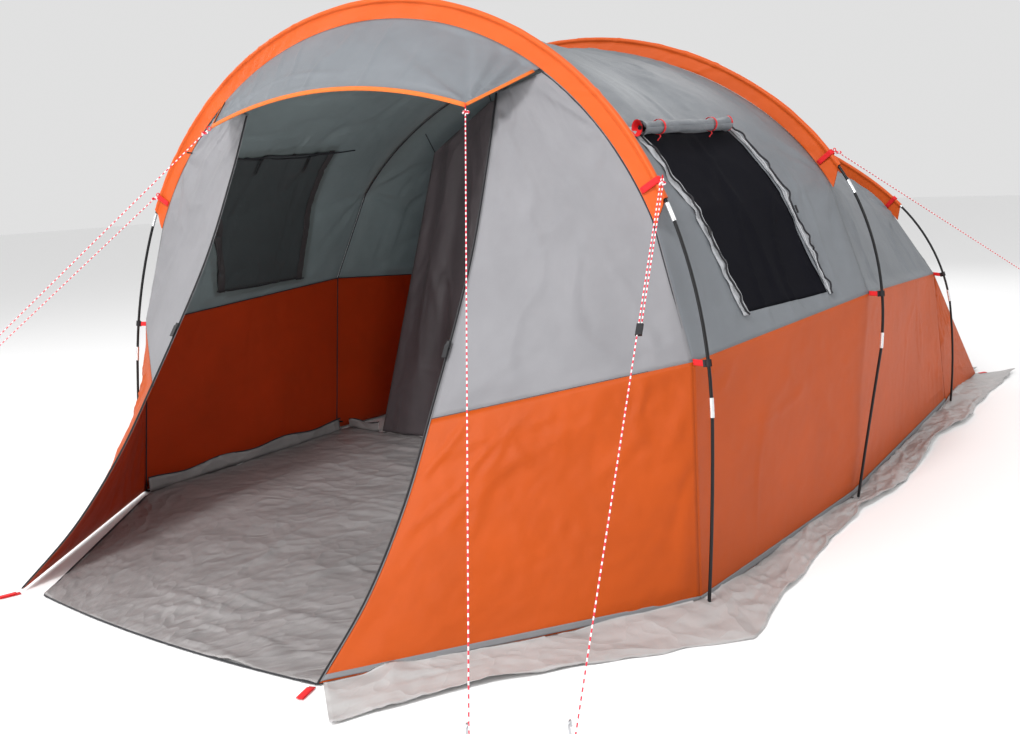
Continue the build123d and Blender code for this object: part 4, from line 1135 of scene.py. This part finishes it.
def plan_base(first, second, z):
    """The flat sheet between two lines on the ground; u runs along them, v from the first to the second."""
    first, second = np.asarray(first, float), np.asarray(second, float)

    def along(points, share):
        lengths = np.concatenate([[0], np.cumsum(np.linalg.norm(np.diff(points, axis=0), axis=1))])
        at = share * lengths[-1]
        slopes = (points[1] - points[0]) / lengths[1], (points[-1] - points[-2]) / (lengths[-1] - lengths[-2])
        place = np.stack([np.interp(at, lengths, points[:, k]) for k in (0, 1)], -1)
        place = place + np.minimum(at, 0)[..., None] * slopes[0]
        return place + np.maximum(at - lengths[-1], 0)[..., None] * slopes[1]

    def base(u, v):
        place = between(along(first, u), along(second, u), v)
        return np.concatenate([place, np.full((*place.shape[:-1], 1), z)], -1)
    return base


FLAP_INNER = [(0.705, -2.530), (1.350, -1.548), (1.400, -0.278), (1.300, 1.620), (1.235, 2.495)]
FLAP_OUTER = [(0.895, -2.700), (1.020, -2.450), (1.250, -2.100), (1.500, -1.820), (1.600, -1.700),
              (1.550, -1.350),
              (1.500, -0.450), (1.550, 0.060), (1.460, 0.850), (1.500, 1.250), (1.450, 2.000), (1.460, 2.690)]


def ragged(base, seed, amount):
    """The same sheet with an outer edge that wanders, as a loose sheet's does."""
    def moved(u, v):
        place = base(u, v)
        wander = amount * (noise(u * 26, 0.5, seed) + 0.6 * noise(u * 60, 2.5, seed)) * v**2
        away = base(u, v + 0.01) - base(u, v - 0.01)
        away = away / np.maximum(np.linalg.norm(away, axis=-1, keepdims=True), 1e-9)
        return place + away * (wander - amount)[..., None] * (v**2 > 0)[..., None]
    return moved


def flap_push(seed):
    cloth = wrinkled_floor(seed, 0.016)

    def push(s, t, u, v):
        curl = 0.012 * v**3 * np.maximum(noise(u * 18, 1.5, seed), 0)
        return cloth(s, t, u, v) + 0.006 * (1 - v) ** 2 + curl
    return push


for side, word, inner_edge, outer_edge, size in (
    (1, "right", FLAP_INNER, FLAP_OUTER, (5.15, 0.24)),
    (-1, "left", FLAP_INNER[1:], [(1.480, -1.500)] + FLAP_OUTER[6:], (4.10, 0.22)),
):
    lines = [[(side * x, y) for x, y in points] for points in (inner_edge, outer_edge)]
    make_sheet(f"flap_{word}", ragged(plan_base(*lines, FLAP_Z), 143.0 + side, 0.018), size,
               flap_push(147.0 + side),
               [flap_cloth], fade=(0, 0, 0, 0), flip=side > 0, pitch=0.013, thick=0.0006,
               nodes=["mud_flaps"])
lines = [(-1.225, 2.500), (1.225, 2.500)], [(-1.225, 2.650), (-0.3, 2.690), (0.5, 2.660), (1.225, 2.695)]
make_sheet("flap_rear", ragged(plan_base(*lines, FLAP_Z), 151.0, 0.012), (2.46, 0.18), flap_push(153.0),
           [flap_cloth],
           fade=(0, 0, 0, 0), pitch=0.013, thick=0.0006)

FLOOR_LEFT, FLOOR_RIGHT = (-0.590, -2.530), (0.690, -2.540)
FLOOR_BOW = 0.040
FLOOR_SIDES = np.array([(-1.555, 1.310), (-0.290, 1.352), (-0.225, 1.350)])
FLOOR_BACK = -0.225


def floor_base(u, v):
    """The groundsheet: u across it from the left, v from its bowed front edge to the bedroom."""
    front_y = FLOOR_LEFT[1] + (FLOOR_RIGHT[1] - FLOOR_LEFT[1]) * u - FLOOR_BOW * 4 * u * (1 - u)
    y = front_y + (FLOOR_BACK - front_y) * v
    share = (y - front_y) / (FLOOR_SIDES[0, 0] - front_y)
    left = np.where(share < 1, FLOOR_LEFT[0] + (-FLOOR_SIDES[0, 1] - FLOOR_LEFT[0]) * share,
                    -np.interp(y, *FLOOR_SIDES.T))
    right = np.where(share < 1, FLOOR_RIGHT[0] + (FLOOR_SIDES[0, 1] - FLOOR_RIGHT[0]) * share,
                     np.interp(y, *FLOOR_SIDES.T))
    return np.stack([left + (right - left) * u, y, np.full(np.shape(u), FLOOR_Z)], -1)


make_sheet("living_floor", floor_base, (2.70, 2.36), wrinkled_floor(157.0, 0.010), [floor_cloth],
           fade=(0, 0, 0, 0), pitch=0.014, thick=0.0008, nodes=["groundsheet"])


def rim_base(side):
    def base(u, v):
        y = FLOOR_SIDES[0, 0] + (FLOOR_SIDES[1, 0] - FLOOR_SIDES[0, 0]) * u
        x = side * np.interp(y, FLOOR_SIDES[:, 0], FLOOR_SIDES[:, 1])
        return np.stack([x, y, FLOOR_Z + RIM_HEIGHT * v * (1 - 0.25 * np.sin(math.pi * u * 3) ** 2)], -1)
    return base


edging = []
for side, word in ((1, "right"), (-1, "left")):
    make_sheet(f"rim_{word}", rim_base(side), (1.27, 0.07), taut(163.0 + side, swell=0.004, crease=0.003),
               [floor_cloth],
               fade=(0, 0, 1, 0), fading=0.02, flip=side < 0,
               thick=0.0008)
    u = np.linspace(0, 1, 50)
    edging.append(line(f"rim_edge_{word}", rim_base(side)(u, np.ones(50)), 0.003, piping_black))
    v = np.linspace(0, 0.40, 40)
    edge = floor_base(np.full(40, 0.5 + side * 0.5), v) + np.array([0, 0, 0.003])
    edging.append(line(f"floor_edge_{word}", edge, 0.0028, piping_black))
    start, end = np.array([side * 1.350, FLOOR_BACK - 0.002]), np.array([side * 1.135, FLOOR_BACK - 0.002])
    back = np.concatenate([start + (end - start) * u[:, None], (0.052 + 0.006 * np.sin(u * 7))[:, None]],
                          axis=1)
    upright = back * np.array([1, 1, 0.56])
    edging.append(ribbon(f"rim_back_{word}", upright, (0, 0, 1), 0.050, floor_cloth, wave=0.006))
    edging.append(line(f"rim_back_edge_{word}", back, 0.003, piping_black))
u = np.linspace(0, 1, 60)
edging.append(line("floor_edge_front", floor_base(u, np.zeros(60)) + np.array([0, 0, 0.0028]), 0.0028,
                   piping_black))
joined("floor_edging", edging)

ROOM_FLOOR = [(-0.220, 1.105), (1.600, 1.045), (2.240, 0.985)]


def room_floor_base(u, v):
    y = ROOM_FLOOR[0][0] + (ROOM_FLOOR[-1][0] - ROOM_FLOOR[0][0]) * v
    half = np.interp(y, *np.array(ROOM_FLOOR).T)
    return np.stack([half * (2 * u - 1), y, np.full(np.shape(u), FLOOR_Z)], -1)


make_sheet("room_floor", room_floor_base, (2.20, 2.46), wrinkled_floor(167.0, 0.006), [floor_cloth],
           fade=(0, 0, 0, 0), pitch=0.022, thick=0.0008, nodes=["bedroom_floor"])


# ---------------------------------------------------------------- bedroom
def room_outline(half, t):
    """Across and up, along the bedroom's section; t runs from -3 at its left foot to 3 at its right foot."""
    half = np.array(half[::-1])
    a = np.abs(t)
    x = np.interp(a, [0, 1, 2, 3], half[:, 0])
    return np.sign(t) * x, np.interp(a, [0, 1, 2, 3], half[:, 1]) + ROOM_FOOT


def room_spots(u):
    """Shares along the section so that each stretch is as long as it really is."""
    lengths = np.array([0, 0.49, 0.90, 2.38])
    t = (2 * u - 1) * lengths[-1]
    return np.sign(t) * np.interp(np.abs(t), lengths, [0, 1, 2, 3])


def hang(t):
    """How far the bedroom's top sags between its hooks."""
    a = np.abs(t)
    return np.where(a < 2, 0.018 * np.sin(math.pi * (a % 1)) ** 2, 0.0)


def room_side(first, second):
    def base(u, v):
        t = room_spots(u)
        ends = []
        for half, place in (first, second):
            x, h = room_outline(half, t)
            ends.append(place(x * 0.997, h - hang(t)))
        return between(*ends, v)
    return base


def at_front(x, h):
    return in_space(MIDDLE_ARCH, x, h, -ROOM_FRONT_GAP - 0.004)


def at_rear(x, h):
    return in_space(REAR_ARCH, x, h, 0.060)


def at_back(x, h):
    return np.stack([x, np.full(np.shape(x), ROOM_BACK_Y), h], -1)


def room_push(seed):
    def push(s, t, u, v):
        folds = 0.014 * noise(s / 0.16, t / 1.4, seed) + 0.006 * creases(t, s, 0.6, 0.07, seed + 1)
        return folds + 0.004 * creases(s, t, 0.4, 0.12, seed + 2) - 0.012 * np.sin(math.pi * v)
    return push


for name, first, second, size in (
    ("room_shell", (ROOM_FRONT, at_front), (ROOM_REAR, at_rear), (4.76, 1.92)),
    ("room_back", (ROOM_REAR, at_rear), (ROOM_BACK, at_back), (3.80, 1.25)),
):
    make_sheet(name, room_side(first, second), size, room_push(173.0 + size[1]), [charcoal],
               pitch=0.022,
               nodes=["bedroom_shell"] if name == "room_shell" else ())


SHOULDER_HALF, SHOULDER_Z = ROOM_FRONT[1]
CROWN = 0.285  # from the bedroom's shoulder up to its top
ROOM_TOP = ROOM_FRONT[-1][1]


def room_front_base(u, v):
    """The bedroom's front wall: u across it and v from the ground up to its sagging top."""
    h = ROOM_TOP * v + ROOM_FOOT
    half = np.array(ROOM_FRONT)
    width = np.interp(h - ROOM_FOOT, half[:3, 1], half[:3, 0])
    across = 2 * u - 1
    over = np.maximum(h - ROOM_FOOT - SHOULDER_Z, 0)
    top = SHOULDER_Z + np.interp(np.abs(across) * SHOULDER_HALF, [0, 0.49, SHOULDER_HALF],
                                 [CROWN, 0.235, 0.0])
    above = h - ROOM_FOOT > SHOULDER_Z
    high = np.where(above, SHOULDER_Z + (top - SHOULDER_Z) * over / CROWN + ROOM_FOOT, h)
    wide = np.where(above, SHOULDER_HALF * across, width * across)
    return in_space(MIDDLE_ARCH, wide, high, -ROOM_FRONT_GAP)


def front_push(s, t, u, v):
    """Long upright folds with sharp creases on them."""
    folds = 0.020 * noise(s / 0.13 + 0.6 * noise(s / 0.5, t / 0.9, 179.0), t / 1.6, 181.0)
    sharp = 0.009 * creases(t, s + 0.12 * t, 0.55, 0.06, 182.0)
    sharp = sharp + 0.006 * creases(t, s - 0.3 * t, 0.35, 0.07, 185.0)
    return folds + sharp + 0.003 * creases(s, t, 0.2, 0.1, 187.0)


front_holes = [(BEDROOM_DOOR, (0, 2), 0)]
make_sheet("room_front", room_front_base, (2.24, 1.75), front_push, [charcoal],
           holes=front_holes,
           pitch=0.014, nodes=["bedroom_front"], fade=(1, 1, 0, 1))
roll_low = in_space(MIDDLE_ARCH, 0.575, 0.085, -0.026)
roll_high = in_space(MIDDLE_ARCH, 0.575, 1.075, -0.026)
make_roll("room_door_roll", roll_low, roll_high, 0.031, 3, 191.0, charcoal, ["bedroom_door_roll"],
          "room_charcoal")


# ---------------------------------------------------------------- straps and finishes
def strap_over_sleeve(name, arch, degrees):
    """Red webbing round the sleeve, sewn at its inner edge."""
    here, out, along, across = outwards(arch, degrees)
    reach, half = 0.013, 0.0125
    turn = np.radians(np.linspace(90, -90, 13))
    front = [(x, half * 0.45 + half * 0.55 * (x + 0.058) / 0.06) for x in np.linspace(-0.058, 0.002, 6)]
    profile = front + [(0.002 + reach * math.cos(a), half * math.sin(a)) for a in turn]
    profile += [(x, -w) for x, w in reversed(front)]
    points = np.array([here + out * x + across * w for x, w in profile])
    return ribbon(name, points, along, 0.021, webbing_red, thick=0.0016)


def straight_strap(name, start, end, across, width, material, bow=0.0, thick=0.0016):
    share = np.linspace(0, 1, 9)[:, None]
    start, end = np.asarray(start, float), np.asarray(end, float)
    sag = np.array([0, 0, 1.0]) * bow * np.sin(math.pi * share)
    return ribbon(name, start + (end - start) * share + sag, across, width, material, thick=thick)


sleeve_bands, clip_bands, foot_bands, corner_bands = [], [], [], []
for name, arch in ARCHES.items():
    for side in (-1, 1):
        sleeve_bands.append(strap_over_sleeve(f"sleeve_band_{name}_{side + 1}", arch, side * STRAP_ANGLE))
        here, out, along, across = outwards(arch, side * CLIP_ANGLE)
        seam = in_space(arch, *wall_line(arch, side, 0.0))
        start = here + out * -0.012
        clip_bands.append(straight_strap(f"clip_band_{name}_{side + 1}", start, seam, along, 0.019,
                                         webbing_red))
        foot = in_space(arch, *on_arch(arch, 90.0 * side))
        begin = foot + np.array([-side * 0.020, 0, 0.006])
        finish = foot + np.array([-side * 0.062, 0, 0.0075])
        foot_bands.append(straight_strap(f"foot_band_{name}_{side + 1}", begin, finish, (0, 1, 0), 0.022,
                                         webbing_black))
joined("sleeve_bands", sleeve_bands, nodes=["sleeve_straps"])
joined("clip_bands", clip_bands, nodes=["clip_straps"])
joined("foot_bands", foot_bands, nodes=["foot_webbing"])


def corner_loop(name, at, way):
    """A peg loop of red webbing at a corner: a flat strap folded back on itself."""
    way = np.array([*way, 0.0]) / math.hypot(*way)
    beside = np.array([-way[1], way[0], 0])
    out = np.concatenate([np.linspace(0.0, 0.070, 9), [0.073], np.linspace(0.070, 0.012, 8)])
    high = np.concatenate([np.linspace(0.0035, 0.003, 9), [0.0048], np.linspace(0.0066, 0.0070, 8)])
    points = np.array([*at, 0.0]) + way * out[:, None] + np.array([0, 0, 1.0]) * high[:, None]
    return ribbon(name, points, beside, 0.020, webbing_red, thick=0.0014)


for side in (-1, 1):
    corner_bands.append(corner_loop(f"corner_front_{side + 1}", (side * 0.690, -2.555), (side * 0.30, -1)))
    corner_bands.append(corner_loop(f"corner_rear_{side + 1}", (side * 1.262, 2.515), (side * 0.5, 1)))
joined("corner_bands", corner_bands, nodes=["corner_straps"])

finishes = {
    rod_black: ["front_pole", "middle_pole", "rear_pole"],
    ferrule_metal: ["pole_ferrules"],
    steel: ["foot_pins", "pegs"],
    elastic: ["shock_cords", "bedroom_hooks", "groundsheet_hooks"],
    webbing_red: ["guy_rings"],
    plastic_black: ["pole_clips"] + [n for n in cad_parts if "slider" in n or n.startswith("runner_")],
}
for material, names in finishes.items():
    for name in names:
        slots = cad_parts[name].data.materials
        slots.clear()
        slots.append(material)


# ---------------------------------------------------------------- floor and light
def make_stage():
    mesh = bpy.data.meshes.new("floor")
    far = 30
    mesh.from_pydata([(-far, -far, 0), (far, -far, 0), (far, far, 0), (-far, far, 0)], [], [(0, 1, 2, 3)])
    floor = bpy.data.objects.new("floor", mesh)
    floor.location.z = -0.001
    bpy.context.collection.objects.link(floor)
    material, _, _ = new_material("studio_floor", (0.92, 0.92, 0.92), 0.9)
    mesh.materials.append(material)


def area_light(name, at, aim, size, power, colour=(1, 1, 1)):
    data = bpy.data.lights.new(name, "AREA")
    data.shape = "DISK"
    data.size = size
    data.energy = power
    data.color = colour
    lamp = bpy.data.objects.new(name, data)
    lamp.location = at
    lamp.rotation_euler = (Vector(aim) - Vector(at)).to_track_quat("-Z", "Y").to_euler()
    bpy.context.collection.objects.link(lamp)


make_stage()
area_light("key", (1.0, -6.0, 6.0), (0.3, -0.5, 0.8), 1.8, 330)
area_light("fill", (6.0, 1.5, 3.5), (0.5, 0.5, 0.6), 3.0, 70)
area_light("left", (-6.0, -3.0, 4.0), (-0.5, -0.5, 0.8), 3.0, 110)
area_light("back", (-1.0, 7.0, 4.5), (0.0, 1.0, 0.8), 3.0, 90)
area_light("doorway", (0.5, -4.6, 1.5), (-0.4, -0.8, 0.7), 1.6, 34)
area_light("inside", (0.35, -1.15, 1.05), (-1.2, -0.7, 1.0), 0.9, 8)
world = bpy.data.worlds.new("studio")
world.use_nodes = True
world.node_tree.nodes["Background"].inputs["Color"].default_value = (1.0, 1.0, 1.0, 1)
world.node_tree.nodes["Background"].inputs["Strength"].default_value = 0.75
bpy.context.scene.world = world
bpy.context.scene.view_settings.view_transform = "Standard"
